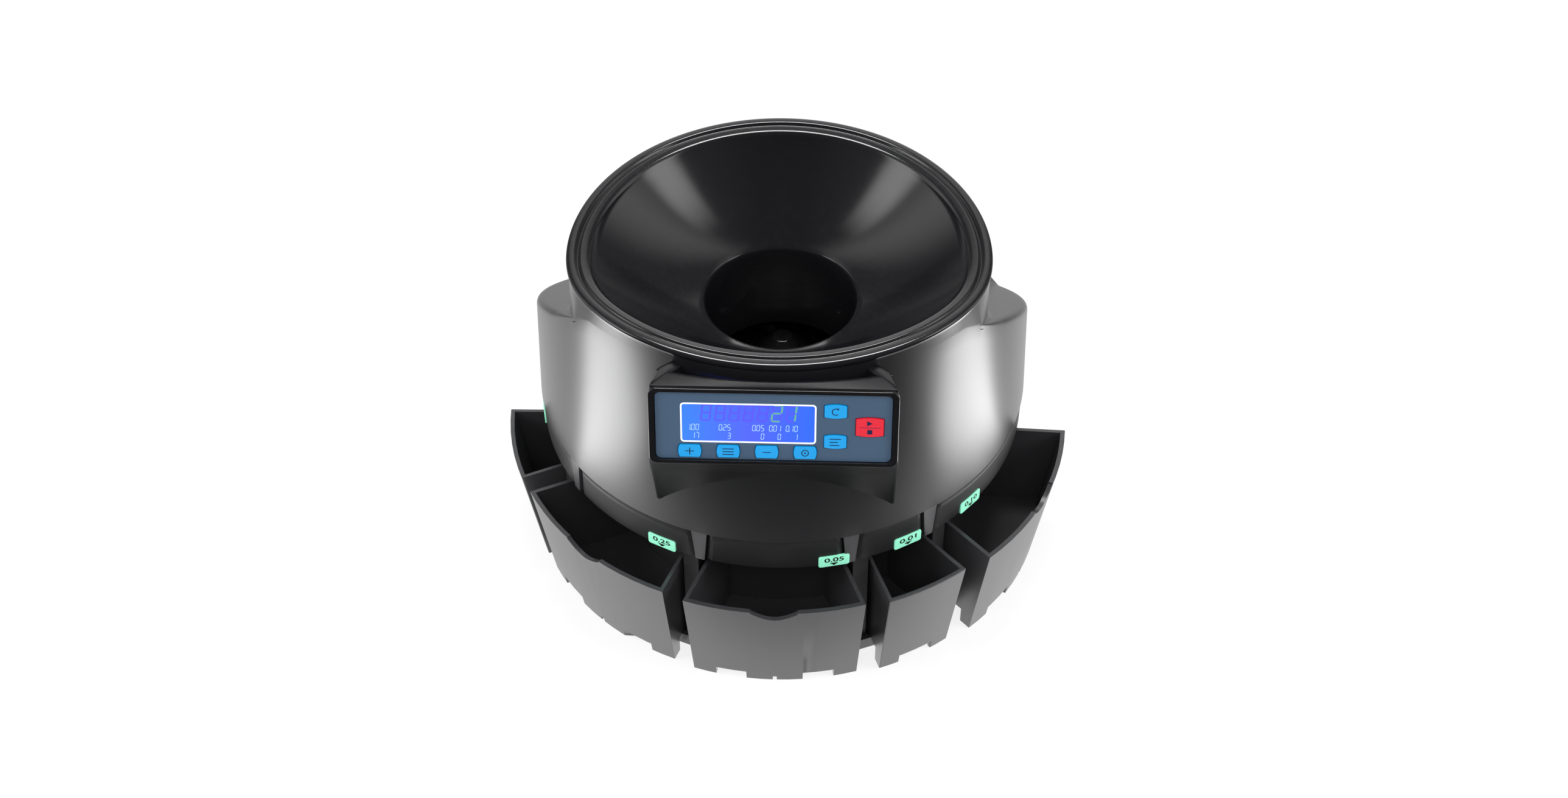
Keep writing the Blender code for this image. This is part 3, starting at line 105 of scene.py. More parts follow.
# White line round the display, outside and inside: growth and corner; drop and rise of its faces
LCD_LINE, LCD_LINE_LOW, LCD_LINE_HIGH = ((0.0004, 0.0021), (-0.0005, 0.0013)), 0.0001, 0.00012
LCD_TONE_HALF = 0.038
LCD_TONES = ((0.022, 0.130, 0.98, 1), (0.046, 0.072, 0.96, 1), (0.014, 0.082, 0.94, 1))
# Figures: rise above the film, spacing and lower edge; then slant and width as a share of height
FIGURE_RISE, LARGE_STEP, LARGE_LOW, LARGE_FORM = 0.00004, 0.0080, 0.0036, (0.12, 0.50)
# As shares of a stroke: gap at a bar's end, its tip, and gap before the point
BAR_GAP, BAR_TIP, POINT_GAP = 0.62, 0.5, 0.6
# The faint eights and the large count: words, left end, height, stroke
GHOST, COUNT = ("8888888", -0.0410, 0.0098, 0.0009), ("21", -0.0012, 0.0102, 0.0011)
SMALL_STEP, SMALL_H, SMALL_STROKE, SMALL_FORM = 0.0024, 0.0037, 0.00040, (0.08, 0.42)
# Lower edges of the values and of their counts; then value, count and left end of each
SMALL_ROWS = (-0.0028, -0.0082)
VALUES = (("1.00", "17", -0.0487), ("0.25", "3", -0.0308), ("0.05", "0", -0.0119),
          ("0.01", "0", -0.0024), ("0.10", "1", 0.0070))
# Keys: height above the face, rise and stroke of their marks, and middles on the face
KEY_TOP, MARK_RISE, MARK_LINE = 0.0020, 0.00005, 0.00052
KEYS = {"key_plus": (-0.0474, -0.0163), "key_batch": (-0.0256, -0.0163),
        "key_minus": (-0.0038, -0.0163), "key_set": (0.0180, -0.0163),
        "key_clear": (0.0349, 0.0108), "key_report": (0.0349, -0.0088),
        "key_start_stop": (0.0542, 0.0010)}

# Rocker's foot, knee and head: out from its box's back face, height from the box's foot or top
ROCKER_FACE = np.array(((-0.00157, 0.0), (-0.00198, 0.00758), (0.0, -0.00037)))
ROCKER_RISE, ROCKER_LINE = 0.00006, 0.00045

# Outlet panels: gap behind the wall, turned-in foot, gap to a post, fold at the ends
PANEL_BEHIND, PANEL_FOOT_IN, PANEL_FOOT_ROUND, PANEL_GAP, PANEL_T = 0.0006, 0.0046, 0.0008, 0.0003, 0.0016
PANEL_ROWS_Z, PANEL_FOLD, PANEL_FOLD_W, PANEL_FOLD_MORE = (0.098, 0.104, 0.110), 0.0018, 0.0030, 0.0012

# Number labels on the outlet panels: text, middle angle
LABELS = (("1.00", -80.6), ("0.25", -26.4), ("0.05", 13.2), ("0.01", 31.0), ("0.10", 50.0))
LABEL_W, LABEL_H, LABEL_LOW_Z, LABEL_CORNER = 0.0192, 0.0090, 0.0916, 0.0014
LABEL_WALL_Z = 0.096
# Rings of a label's plate: share of the outline and lift from the wall
LABEL_RINGS = ((1.0, -0.0007), (1.0, 0.0002), (0.97, 0.00032))
# A label's figure: width, size, boldness, lift and height as a share of the label's; its pointer
FIGURE_W, FIGURE_SIZE, FIGURE_BOLD, FIGURE_LIFT, FIGURE_Y = 0.0122, 0.0050, 0.00010, 0.00040, 0.655
POINTER = ((-0.0028, 0.37), (0.0028, 0.37), (0.0, 0.12))

# Finishes: scales of slow clouds and settled dust, dust's tone, what it lies on and how it breaks up,
# and tone and gloss of turned lines
CLOUD_SCALE, DUST_SCALE, DUST_TONE = 14.0, 260.0, (0.42, 0.41, 0.39, 1)
DUST_UPWARD, DUST_BROKEN, LINE_TONE, LINE_GLOSS = (0.3, 1.0), (0.45, 0.75), (0.86, 1.08), (0.7, 1.3)

# Carried-over CAD nodes: edges that turn less are smooth, faces that turn less are one
SMOOTH_UP_TO, FLAT_WITHIN = 28.0, 0.6

# Camera, as worked out from the photograph for a frame of 2576 x 1311
CAMERA_TARGET = (0.0010, 0.0, 0.0845)
CAMERA_TURN, CAMERA_HEIGHT_ANGLE, CAMERA_ROLL = 1.7, 43.83, -0.07
CAMERA_DISTANCE, CAMERA_LENS, CAMERA_SENSOR = 1.3755, 47.30, 36.0

# Upright soft boxes seen in gloss: plan direction, strength, edges across and up
SIDE_BOX_WAY, SIDE_BOX_GLOSS = (0.945, -0.327, 0.0), 2.6
SIDE_BOX_ACROSS, SIDE_BOX_UP = (0.972, 0.9995), (0.72, 0.34)
# World: strength of its light, and its white in gloss towards the diagonals and to the back
WORLD_LIGHT, GLOSS_AROUND, GLOSS_BACK = 0.5, (0.15, 0.85, 0.10, 0.9), (-0.30, 0.12, 0.14, 1.0)

# Floor, with the strength of its white in gloss from the front to the back
FLOOR_HALF, FLOOR_TONE, WHITE, FLOOR_WHITE = 6.0, (0.8, 0.8, 0.8, 1), (1, 1, 1, 1), 1.03
FLOOR_SHADOW_REACH, FLOOR_SHADOW_COVER = (0.26, 0.50), 0.80
FLOOR_GLOSS_WAY, FLOOR_GLOSS_REACH = (-0.09, 0.995, 0.0), (-0.60, 0.60)
FLOOR_GLOSS = ((-0.34, 0.02), (-0.27, 0.07), (-0.22, 0.47), (-0.155, 1.00), (-0.02, 0.66),
               (0.12, 0.70), (0.40, 0.38))


# Meshes

def grid_mesh(name, points, keep=None, close_rows=False, close_columns=False):
    """Mesh of a grid of points[row, column]: each cell joins a point to its next neighbours.

    keep is a mask of the cells that stay; a closed direction joins its last line to its first.
    """
    points = np.asarray(points, float)
    rows, columns = points.shape[:2]
    index = np.arange(rows * columns).reshape(rows, columns)
    i, j = np.meshgrid(np.arange(rows if close_rows else rows - 1),
                       np.arange(columns if close_columns else columns - 1), indexing="ij")
    below, right = (i + 1) % rows, (j + 1) % columns
    cells = np.stack((index[i, j], index[i, right], index[below, right], index[below, j]), -1)
    cells = cells[keep] if keep is not None else cells.reshape(-1, 4)
    mesh = bpy.data.meshes.new(name)
    mesh.from_pydata((points.reshape(-1, 3) + AXIS).tolist(), [], cells.tolist())
    return welded(mesh)


def welded(mesh, solid=False):
    """Merges doubled points, drops faces without area and loose points; a solid is turned outwards."""
    shape = bmesh.new()
    shape.from_mesh(mesh)
    bmesh.ops.remove_doubles(shape, verts=shape.verts, dist=JOIN_REACH)
    bmesh.ops.dissolve_degenerate(shape, edges=shape.edges, dist=0.000003)
    bmesh.ops.delete(shape, geom=[v for v in shape.verts if not v.link_faces], context="VERTS")
    if solid:
        bmesh.ops.recalc_face_normals(shape, faces=shape.faces)
    shape.to_mesh(mesh)
    shape.free()
    return mesh


def stand(name, data):
    """New object in the scene."""
    made = bpy.data.objects.new(name, data)
    bpy.context.scene.collection.objects.link(made)
    return made


def piece(mesh, body, look, replaced=(), sharp=34.0):
    """Object at the origin, named like its mesh, that rides on a body, with its finish; the CAD nodes it
    stands for are hidden.
    """
    made = stand(mesh.name, mesh)
    mesh.materials.clear()
    mesh.materials.append(look)
    mesh.shade_smooth()
    mesh.set_sharp_from_angle(angle=math.radians(sharp))
    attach(made, body)
    if replaced:
        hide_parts(*replaced)
    return made


def thicken(made, thickness):
    """Wall of a given thickness behind the surface."""
    wall = made.modifiers.new("wall", "SOLIDIFY")
    wall.thickness, wall.offset, wall.use_even_offset = thickness, -1.0, False
    return made


def soften(made, width, segments=2, angle=30.0):
    """Small round on every edge that turns more than the angle."""
    rim = made.modifiers.new("edges", "BEVEL")
    rim.width, rim.segments, rim.limit_method = width, segments, "ANGLE"
    rim.angle_limit, rim.harden_normals = math.radians(angle), True
    rim.use_clamp_overlap = True
    return made


def lerp(start, end, shares):
    """Rows between two rows: (1 - share) of the first and share of the second."""
    shares = np.asarray(shares)[:, None, None]
    return (1 - shares) * start + shares * end


def bend(t, before, corner, after):
    """Round drawn to a corner: (1-t)^2 before + 2t(1-t) corner + t^2 after."""
    return (1 - t) ** 2 * before + 2 * t * (1 - t) * corner + t ** 2 * after


def corner_rows(before, corner, after, steps):
    """Rows of a round between two rows, drawn to the row at the corner."""
    return bend(np.linspace(0, 1, steps)[:, None, None], before, corner, after)


def eased(stops, radii, steps):
    """Path through stops, each inner corner a bend that starts and ends a radius from it."""
    stops = [np.asarray(stop, float) for stop in stops]
    path = [stops[0][None]]
    t = np.linspace(0, 1, steps)[:, None]
    for before, corner, after, radius in zip(stops, stops[1:], stops[2:], radii):
        back, ahead = before - corner, after - corner
        start = corner + back * min(0.5, radius / np.linalg.norm(back))
        end = corner + ahead * min(0.5, radius / np.linalg.norm(ahead))
        path.append(bend(t, start, corner, end))
    path.append(stops[-1][None])
    return np.concatenate(path)


def circle(angle):
    """Points of a circle of radius 1."""
    return np.stack((np.cos(angle), np.sin(angle)), -1)


def rounded_outline(width, height, corner):
    """Points round a rectangle with quarter-circle corners, from the upper right, counter-clockwise."""
    turn = np.radians(np.linspace(0, 90, 9))
    middle = np.array((width / 2 - corner, height / 2 - corner))
    return np.concatenate([middle * sides + corner * circle(turn + math.pi / 2 * number)
                           for number, sides in enumerate(((1, 1), (-1, 1), (-1, -1), (1, -1)))])


def about_axis(radius, angle, z):
    """Points at a radius, an angle from the front and a height, about the machine axis."""
    x = radius * np.sin(angle)
    return np.stack((x, -radius * np.cos(angle), np.broadcast_to(z, x.shape)), -1)


def on_face(points):
    """Points of the display face, x right, y up the face and z outwards, moved to their place."""
    turn = np.array(Matrix.Translation((0, -POD_FACE_Y, POD_FACE_Z))
                    @ Matrix.Rotation(math.radians(90 - POD_TILT), 4, "X"))
    return np.asarray(points) @ turn[:3, :3].T + turn[:3, 3]


def flat_mesh(name, polygons):
    """Mesh of separate flat polygons, given in place."""
    counts = np.cumsum([0] + [len(p) for p in polygons])
    mesh = bpy.data.meshes.new(name)
    faces = [list(range(a, b)) for a, b in zip(counts, counts[1:])]
    mesh.from_pydata((np.concatenate(polygons) + AXIS).tolist(), [], faces)
    return mesh


def text_points(words, size, thickness):
    """Points and faces of a line of text, centred on the origin in its own plane."""
    curve = bpy.data.curves.new("words", "FONT")
    curve.body, curve.size, curve.align_x, curve.align_y = words, size, "CENTER", "CENTER"
    curve.offset = thickness
    holder = stand("words", curve)
    bpy.context.view_layer.update()
    mesh = bpy.data.meshes.new_from_object(holder.evaluated_get(
        bpy.context.evaluated_depsgraph_get()))
    bpy.data.objects.remove(holder)
    points = np.array([v.co for v in mesh.vertices])
    points[:, :2] -= (points[:, :2].max(0) + points[:, :2].min(0)) / 2
    return points, [tuple(face.vertices) for face in mesh.polygons]


# Shader nodes

def feed(tree, sockets, values):
    """Fills sockets by name or number: a value is set, the output of another node is joined."""
    for socket, value in values.items():
        if isinstance(value, bpy.types.NodeSocket):
            tree.links.new(value, sockets[socket])
        else:
            sockets[socket].default_value = value


def put(tree, kind, values=None, **settings):
    """Node of a kind, with its settings and what fills its inputs."""
    made = tree.nodes.new(kind)
    for name, value in settings.items():
        setattr(made, name, value)
    feed(tree, made.inputs, values or {})
    return made


def maths(tree, operation, first, second=0.5):
    """Result of an operation on two values; one that needs a single value leaves the second out."""
    return put(tree, "ShaderNodeMath", {0: first, 1: second}, operation=operation).outputs[0]


def ranged(tree, value, start, end, low=0.0, high=1.0, easing="LINEAR"):
    """Value taken from start..end to low..high and held at both ends."""
    return put(tree, "ShaderNodeMapRange", {"Value": value, "From Min": start, "From Max": end,
                                            "To Min": low, "To Max": high},
               interpolation_type=easing).outputs[0]


def noise(tree, place, scale, detail):
    """Cloudy value between 0 and 1 at a place."""
    return put(tree, "ShaderNodeTexNoise",
               {"Vector": place, "Scale": scale, "Detail": detail}).outputs[0]


def bumped(tree, height, depth, strength=1.0):
    """Normal of a surface whose height changes by a depth."""
    return put(tree, "ShaderNodeBump",
               {"Height": height, "Distance": depth, "Strength": strength}).outputs[0]


def own_place(tree):
    """Place on the piece."""
    return put(tree, "ShaderNodeTexCoord").outputs["Object"]


def colour_mix(tree, share, first, second, blend="MIX"):
    """First colour with a share of the second."""
    return put(tree, "ShaderNodeMix", {0: share, 6: first, 7: second}, data_type="RGBA",
               blend_type=blend).outputs[2]


def scaled_colour(tree, colour, factor):
    """Colour times a factor."""
    return put(tree, "ShaderNodeVectorMath", {0: colour, "Scale": factor},
               operation="SCALE").outputs[0]


def effect_group(name, inputs, outputs):
    """Node group with named inputs and outputs; those named Colour hold colours."""
    tree = bpy.data.node_groups.new(name, "ShaderNodeTree")
    for way, labels in (("INPUT", inputs), ("OUTPUT", outputs)):
        for label in labels:
            kind = "NodeSocketColor" if label == "Colour" else "NodeSocketFloat"
            made = tree.interface.new_socket(label, in_out=way, socket_type=kind)
            if way == "INPUT":
                made.default_value = inputs[label]
    return tree, put(tree, "NodeGroupInput").outputs, put(tree, "NodeGroupOutput").inputs


def moulded_group():
    """Moulded plastic: slow cloudiness of tone and gloss, and a fine pebble for the bump."""
    tree, source, result = effect_group(
        "moulded_surface", {"Colour": (0.1, 0.1, 0.1, 1), "Gloss": 0.3, "Grain": 900.0, "Variation": 0.1},
        ("Colour", "Roughness", "Height"))
    place = own_place(tree)
    cloud = maths(tree, "SUBTRACT", noise(tree, place, CLOUD_SCALE, 3.0), 0.5)
    share = maths(tree, "ADD", maths(tree, "MULTIPLY", cloud, source["Variation"]), 1.0)
    feed(tree, result, {"Colour": scaled_colour(tree, source["Colour"], share),
                        "Roughness": maths(tree, "MULTIPLY", source["Gloss"], share),
                        "Height": noise(tree, place, source["Grain"], 2.0)})
    return tree


def dust_group():
    """Faint dust: a broken-up mask that is strongest on faces that look upwards."""
    tree, source, result = effect_group(
        "settled_dust", {"Colour": (0.1, 0.1, 0.1, 1), "Amount": 0.05}, ("Colour",))
    normal = put(tree, "ShaderNodeNewGeometry").outputs["Normal"]
    upward = ranged(tree, put(tree, "ShaderNodeSeparateXYZ", {0: normal}).outputs["Z"], *DUST_UPWARD)
    broken = ranged(tree, noise(tree, own_place(tree), DUST_SCALE, 4.0), *DUST_BROKEN)
    cover = maths(tree, "MULTIPLY", maths(tree, "MULTIPLY", upward, broken), source["Amount"])
    feed(tree, result, {"Colour": colour_mix(tree, cover, source["Colour"], DUST_TONE)})
    return tree


def turned_group():
    """Turned metal: fine rings about the machine axis that change tone, gloss and height."""
    tree, source, result = effect_group(
        "turned_lines", {"Colour": (0.6, 0.6, 0.6, 1), "Gloss": 0.3, "Lines": 1500.0},
        ("Colour", "Roughness", "Height"))
    middle = put(tree, "ShaderNodeMapping", {"Vector": own_place(tree),
                                             "Location": (-AXIS[0], -AXIS[1], 0)}).outputs[0]
    reach = put(tree, "ShaderNodeVectorMath", {0: middle}, operation="LENGTH").outputs["Value"]
    lines = put(tree, "ShaderNodeTexNoise", noise_dimensions="1D")
    feed(tree, lines.inputs, {"W": reach, "Scale": source["Lines"], "Detail": 2.0})
    line = lines.outputs[0]
    feed(tree, result, {
        "Colour": scaled_colour(tree, source["Colour"], ranged(tree, line, 0.0, 1.0, *LINE_TONE)),
        "Roughness": maths(tree, "MULTIPLY", ranged(tree, line, 0.0, 1.0, *LINE_GLOSS), source["Gloss"]),
        "Height": line})
    return tree


# Finishes

MOULDED, DUST, TURNED = moulded_group(), dust_group(), turned_group()


def new_look(name):
    """Node material with its tree and its shader's inputs."""
    made = bpy.data.materials.new(name)
    made.use_nodes = True
    return made, made.node_tree, made.node_tree.nodes["Principled BSDF"].inputs


def plastic(name, colour, gloss, grain=900.0, depth=0.00002, variation=0.12, dust=0.04,
            coat=0.0, coat_gloss=0.08, level=0.5):
    """Moulded plastic with pebble, slow tone changes and a little dust; coat is a gloss layer."""
    made, tree, shader = new_look(name)
    surface = put(tree, "ShaderNodeGroup", node_tree=MOULDED)
    feed(tree, surface.inputs, {"Colour": (*colour, 1), "Gloss": gloss, "Grain": grain,
                                "Variation": variation})
    dusty = put(tree, "ShaderNodeGroup", {"Colour": surface.outputs["Colour"], "Amount": dust},
                node_tree=DUST)
    feed(tree, shader, {"Base Color": dusty.outputs["Colour"],
                        "Roughness": surface.outputs["Roughness"],
                        "Normal": bumped(tree, surface.outputs["Height"], depth, 0.6),
                        "Coat Weight": coat, "Coat Roughness": coat_gloss,
                        "Specular IOR Level": level})
    return made


def metal(name, colour, gloss, lines):
    """Turned metal with fine lines about the machine axis."""
    made, tree, shader = new_look(name)
    surface = put(tree, "ShaderNodeGroup", {"Colour": (*colour, 1), "Gloss": gloss, "Lines": lines},
                  node_tree=TURNED).outputs
    feed(tree, shader, {"Base Color": surface["Colour"], "Roughness": surface["Roughness"],
                        "Normal": bumped(tree, surface["Height"], 0.000002, 0.4), "Metallic": 1.0})
    return made


def board_finish(name):
    """Circuit board: green lacquer with lighter copper tracks on a square grid."""
    made, tree, shader = new_look(name)
    tracks = put(tree, "ShaderNodeTexBrick", {
        "Vector": own_place(tree), "Scale": 160.0, "Mortar Size": 0.012,
        "Color1": (0.010, 0.085, 0.040, 1), "Color2": (0.014, 0.115, 0.050, 1),
        "Mortar": (0.060, 0.240, 0.110, 1)}).outputs
    feed(tree, shader, {"Base Color": tracks["Color"], "Roughness": 0.35,
                        "Normal": bumped(tree, tracks["Fac"], 0.00003)})
    return made


def lcd_finish(name):
    """Lit display glass: three blues from left to right, with a faint cloudiness."""
    made, tree, shader = new_look(name)
    place = own_place(tree)
    middle = put(tree, "ShaderNodeMapping", {"Vector": place,
                                             "Location": (-AXIS[0] - LCD_X, 0, 0)}).outputs[0]
    across = put(tree, "ShaderNodeSeparateXYZ", {0: middle}).outputs["X"]
    tones = put(tree, "ShaderNodeValToRGB", {"Fac": ranged(tree, across, -LCD_TONE_HALF, LCD_TONE_HALF)})
    stops = tones.color_ramp.elements
    stops.new(0.5)
    for stop, tone in zip(stops, LCD_TONES):
        stop.color = tone
    cloud = put(tree, "ShaderNodeTexNoise", {"Vector": place, "Scale": 60.0}).outputs[1]
    glass = colour_mix(tree, 0.10, tones.outputs["Color"], cloud, "MULTIPLY")
    feed(tree, shader, {"Base Color": glass, "Emission Color": glass, "Emission Strength": 0.62,
                        "Roughness": 0.25})
    return made


def print_finish(name, colour, glow=0.0):
    """Printed ink: a nearly even colour with faint unevenness of cover."""
    made, tree, shader = new_look(name)
    ink = put(tree, "ShaderNodeGroup", node_tree=MOULDED)
    feed(tree, ink.inputs, {"Colour": (*colour, 1), "Gloss": 0.45, "Grain": 2500.0, "Variation": 0.08})
    feed(tree, shader, {"Base Color": ink.outputs["Colour"], "Roughness": ink.outputs["Roughness"]})
    # Glow makes the ink give light: true for the display's lit figures, painted light on the labels
    if glow:
        feed(tree, shader, {"Emission Color": ink.outputs["Colour"], "Emission Strength": glow})
    return made


CHARCOAL = plastic("charcoal_satin", (0.0085, 0.0085, 0.0098), 0.33, 700.0, 0.000012, coat=0.9,
                   coat_gloss=0.27, dust=0.012)
# The drawers' own satin grey; the housing's posts also wear it as a painted sheen
DRAWER_GREY_AND_POST_SHEEN = plastic("drawer_satin", (0.033, 0.033, 0.036), 0.42, 700.0, 0.000010, coat=1.0,
                      coat_gloss=0.30, dust=0.015)
GLOSS_BLACK = plastic("piano_black", (0.006, 0.006, 0.007), 0.17, 400.0, 0.0000008, coat=0.6,
                      coat_gloss=0.08, dust=0.008)
POD_BLACK = plastic("pod_black", (0.006, 0.006, 0.007), 0.38, 400.0, 0.000006, dust=0.008, level=0.22)
MATT_BLACK = plastic("matt_black", (0.013, 0.013, 0.014), 0.46, 1800.0, 0.00003, dust=0.03)
RUBBER = plastic("foot_rubber", (0.014, 0.014, 0.014), 0.75, 1200.0, 0.00004)
OVERLAY = plastic("keypad_film", (0.046, 0.084, 0.140), 0.42, 2600.0, 0.00001, 0.05, 0.01)
KEY_BLUE = plastic("key_blue", (0.0, 0.270, 0.62), 0.42, 2600.0, 0.00001, 0.05, 0.0)
KEY_RED = plastic("key_red", (0.62, 0.010, 0.028), 0.42, 2600.0, 0.00001, 0.05, 0.0)
STEEL = metal("turned_steel", (0.62, 0.62, 0.62), 0.28, 1600.0)
COPPER = metal("coil_copper", (0.72, 0.33, 0.16), 0.34, 1200.0)
BOARD = board_finish("circuit_board")
LCD_GLASS = lcd_finish("lit_display")
# The mint labels are printed plates; their faint glow is painted light that brightens them
LABEL_MINT_PAINTED_GLOW = print_finish("mint_label_painted_glow", (0.25, 0.72, 0.50), 0.10)
LABEL_INK = print_finish("label_ink", (0.012, 0.014, 0.014))
KEY_INK = print_finish("key_ink", (0.010, 0.016, 0.060))
FRAME_WHITE = print_finish("white_line", (0.86, 0.88, 0.95))
LIT_DIGIT = print_finish("lit_digit", (0.10, 0.31, 0.18), 0.22)
PALE_DIGIT = print_finish("pale_digit", (0.24, 0.40, 0.84), 0.42)
GHOST_DIGIT = print_finish("ghost_digit", (0.060, 0.046, 0.72), 0.45)


# Housing

def wall_radius(z):
    """Radius of the wall: straight from foot to edge, then straight to a little past the top."""
    top_z = BODY_TOP_Z + (BODY_TOP_Z - BODY_EDGE_Z) / 7
    return np.interp(z, (BODY_FOOT_Z, BODY_EDGE_Z, BODY_TOP_Z, top_z),
                     (BODY_FOOT_R, BODY_R, BODY_TOP_R, BODY_TOP_R + (BODY_TOP_R - BODY_R) / 7))


def rim_height(y):
    """Height of the tilted rim plane at y."""
    slope = (RIM_BACK_Z - RIM_FRONT_Z) / (TUB_R - TUB_SHIFT + BODY_TOP_R)
    return RIM_FRONT_Z + slope * (y + BODY_TOP_R)


def shoulder_height(y):
    """Height of the shoulder plane at y, level behind its knee, with a soft fold."""
    slope = SHOULDER_Z - SHOULDER_SLOPE * y
    gap = slope - SHOULDER_LOW_Z
    return SHOULDER_LOW_Z + (gap + np.sqrt(gap * gap + SHOULDER_FOLD ** 2)) / 2


def circle_reach(direction, centre_y, radius):
    """Distance from the bowl's middle to a circle about (0, centre_y), along plan directions."""
    offset = -BOWL_CENTRE_Y - centre_y
    along = direction[..., 1] * offset
    return -along + np.sqrt(along * along - offset * offset + radius * radius)


def rim_reach(direction, z, grow=0.0):
    """Distance from the bowl's middle to the rim: the wall and the tub joined with a round corner,

    (wall^-n + tub^-n)^(-1/n).
    """
    wall = circle_reach(direction, 0.0, wall_radius(z) + grow)
    tub = circle_reach(direction, -TUB_SHIFT, TUB_R + grow)
    return (wall ** -CORNER_POWER + tub ** -CORNER_POWER) ** (-1 / CORNER_POWER)


def wall_point(angle, z):
    """Points of the wall at angles and heights, cut off by the flat back."""
    points = about_axis(wall_radius(z) * np.ones_like(angle), angle, z)
    y = points[..., 1]
    points[..., :2] *= np.where(y > BACK_FLAT_Y, BACK_FLAT_Y / np.maximum(y, 1e-6), 1.0)[..., None]
    return points


def post_width(z):
    """Width of a post, which grows from the panels' lower edge to their upper edge."""
    rise = np.clip((z - PANEL_LOW_Z) / (BODY_EDGE_Z - PANEL_LOW_Z), 0, 1)
    return POST_LOW_W + (POST_TOP_W - POST_LOW_W) * rise


def angle_stops(stops):
    """Angles through all the stops, no further apart than a step."""
    parts = [np.linspace(a, b, int(abs(b - a) / WALL_STEP) + 2)[:-1] for a, b in zip(stops, stops[1:])]
    return np.append(np.concatenate(parts), stops[-1])


def make_housing():
    """Housing shell: columns at angles round the axis, rows from the foot over the shoulder to the tub.

    A column goes up the wall, turns over a round edge onto the shoulder plane, goes in along the
    line to the bowl's middle and turns up the tub. Where the tub lies outside the wall, the
    shoulder has no width and the column goes straight up.
    """
    half_top = math.degrees(math.asin(POST_TOP_W / 2 / BODY_R))
    at_posts = (POSTS[:, None] + (-half_top, 0, half_top)).ravel()[1:-1]
    degrees = angle_stops([OPENING_ENDS[0], *at_posts, OPENING_ENDS[1], 180.0, OPENING_ENDS[0] + 360])
    nearest = POSTS[np.abs(degrees[:, None] - POSTS[None]).argmin(1)]
    offset = degrees - nearest
    outside = (degrees < POSTS[0]) | (degrees > POSTS[-1])
    rows = []
    for z in WALL_ROWS_Z:
        narrow = np.where(np.abs(offset) <= half_top + 1e-6, post_width(z) / POST_TOP_W, 1.0)
        turned = np.where(outside, degrees, nearest + offset * narrow)
        rows.append(wall_point(np.radians(turned), z))
    angle = np.radians(degrees)
    height = np.full_like(angle, (SHOULDER_LOW_Z + BODY_TOP_Z) / 2)
    for _ in range(12):
        height = np.minimum(shoulder_height(wall_point(angle, height)[:, 1]), BODY_TOP_Z - UNDER_RIM)
    edge = wall_point(angle, height)
    middle = np.array((0, -BOWL_CENTRE_Y))
    reach = np.linalg.norm(edge[:, :2] - middle, axis=1)
    direction = (edge[:, :2] - middle) / reach[:, None]
    tub = circle_reach(direction, -TUB_SHIFT, TUB_R)
    width = np.maximum(reach - tub, 0)
    inner = reach - width
    outer_round = np.minimum(SHOULDER_ROUND, SHOULDER_SHARES[0] * width)
    inner_round = np.minimum(TUB_ROUND, SHOULDER_SHARES[1] * width)

    def out(distance):
        plan = middle + direction * distance[:, None]
        return np.column_stack((plan, np.where(width > 0, shoulder_height(plan[:, 1]), height)))
    below = wall_point(angle, height - outer_round)
    along = out(reach - outer_round)
    foot_out, foot = out(inner + inner_round), out(inner)
    foot_up = foot + np.array((0, 0, 1)) * inner_round[:, None]
    top = middle + direction * rim_reach(direction, RIM_FRONT_Z - RIM_H)[:, None]
    top = np.column_stack((top, rim_height(top[:, 1]) - RIM_H))
    shell = np.concatenate((
        np.array(rows), lerp(rows[-1], below, np.linspace(0, 1, 12)[1:-1]),
        corner_rows(below, edge, along, 8),
        np.array([out(reach - outer_round + (inner + inner_round - reach + outer_round) * t)
                  for t in np.linspace(0, 1, 16)[1:-1]]),
        corner_rows(foot_out, foot, foot_up, 8), lerp(foot_up, top, np.linspace(0, 1, 8)[1:])))
    centre = (degrees[1:] + degrees[:-1]) / 2
    low = np.full_like(centre, BODY_EDGE_Z)
    low[(np.abs(centre[:, None] - POSTS[None]) < half_top).any(1)] = PANEL_LOW_Z
    low[centre > OPENING_ENDS[1]] = BODY_FOOT_Z
    low[centre < POSTS[0]] = PANEL_LOW_Z
    middle_z = np.append((WALL_ROWS_Z[1:] + WALL_ROWS_Z[:-1]) / 2,
                         np.full(len(shell) - len(WALL_ROWS_Z), BODY_TOP_Z))
    keep = middle_z[:, None] > low[None]
    made = piece(grid_mesh("housing_shell", shell, keep), "frame", CHARCOAL, ("main_housing",),
                 50)
    # The posts are of the wall's charcoal; their lighter finish is a painted sheen
    paint_sheen_on_posts(made)
    return soften(thicken(made, SHELL_T), SHELL_EDGE, 3, 50)


def paint_sheen_on_posts(made):
    """Gives the faces of the posts, under the wall's edge, the drawers' lighter finish as a painted sheen:
    the posts are of the wall's charcoal and only catch more light.
    """
    made.data.materials.append(DRAWER_GREY_AND_POST_SHEEN)
    centres = np.empty(len(made.data.polygons) * 3)
    made.data.polygons.foreach_get("center", centres)
    x, y, z = (centres.reshape(-1, 3) - AXIS).T
    post = (z < BODY_EDGE_Z) & (np.abs(np.degrees(np.arctan2(x, -y))) < POSTS[-1])
    made.data.polygons.foreach_set("material_index", post.astype(np.int32))


# Hopper

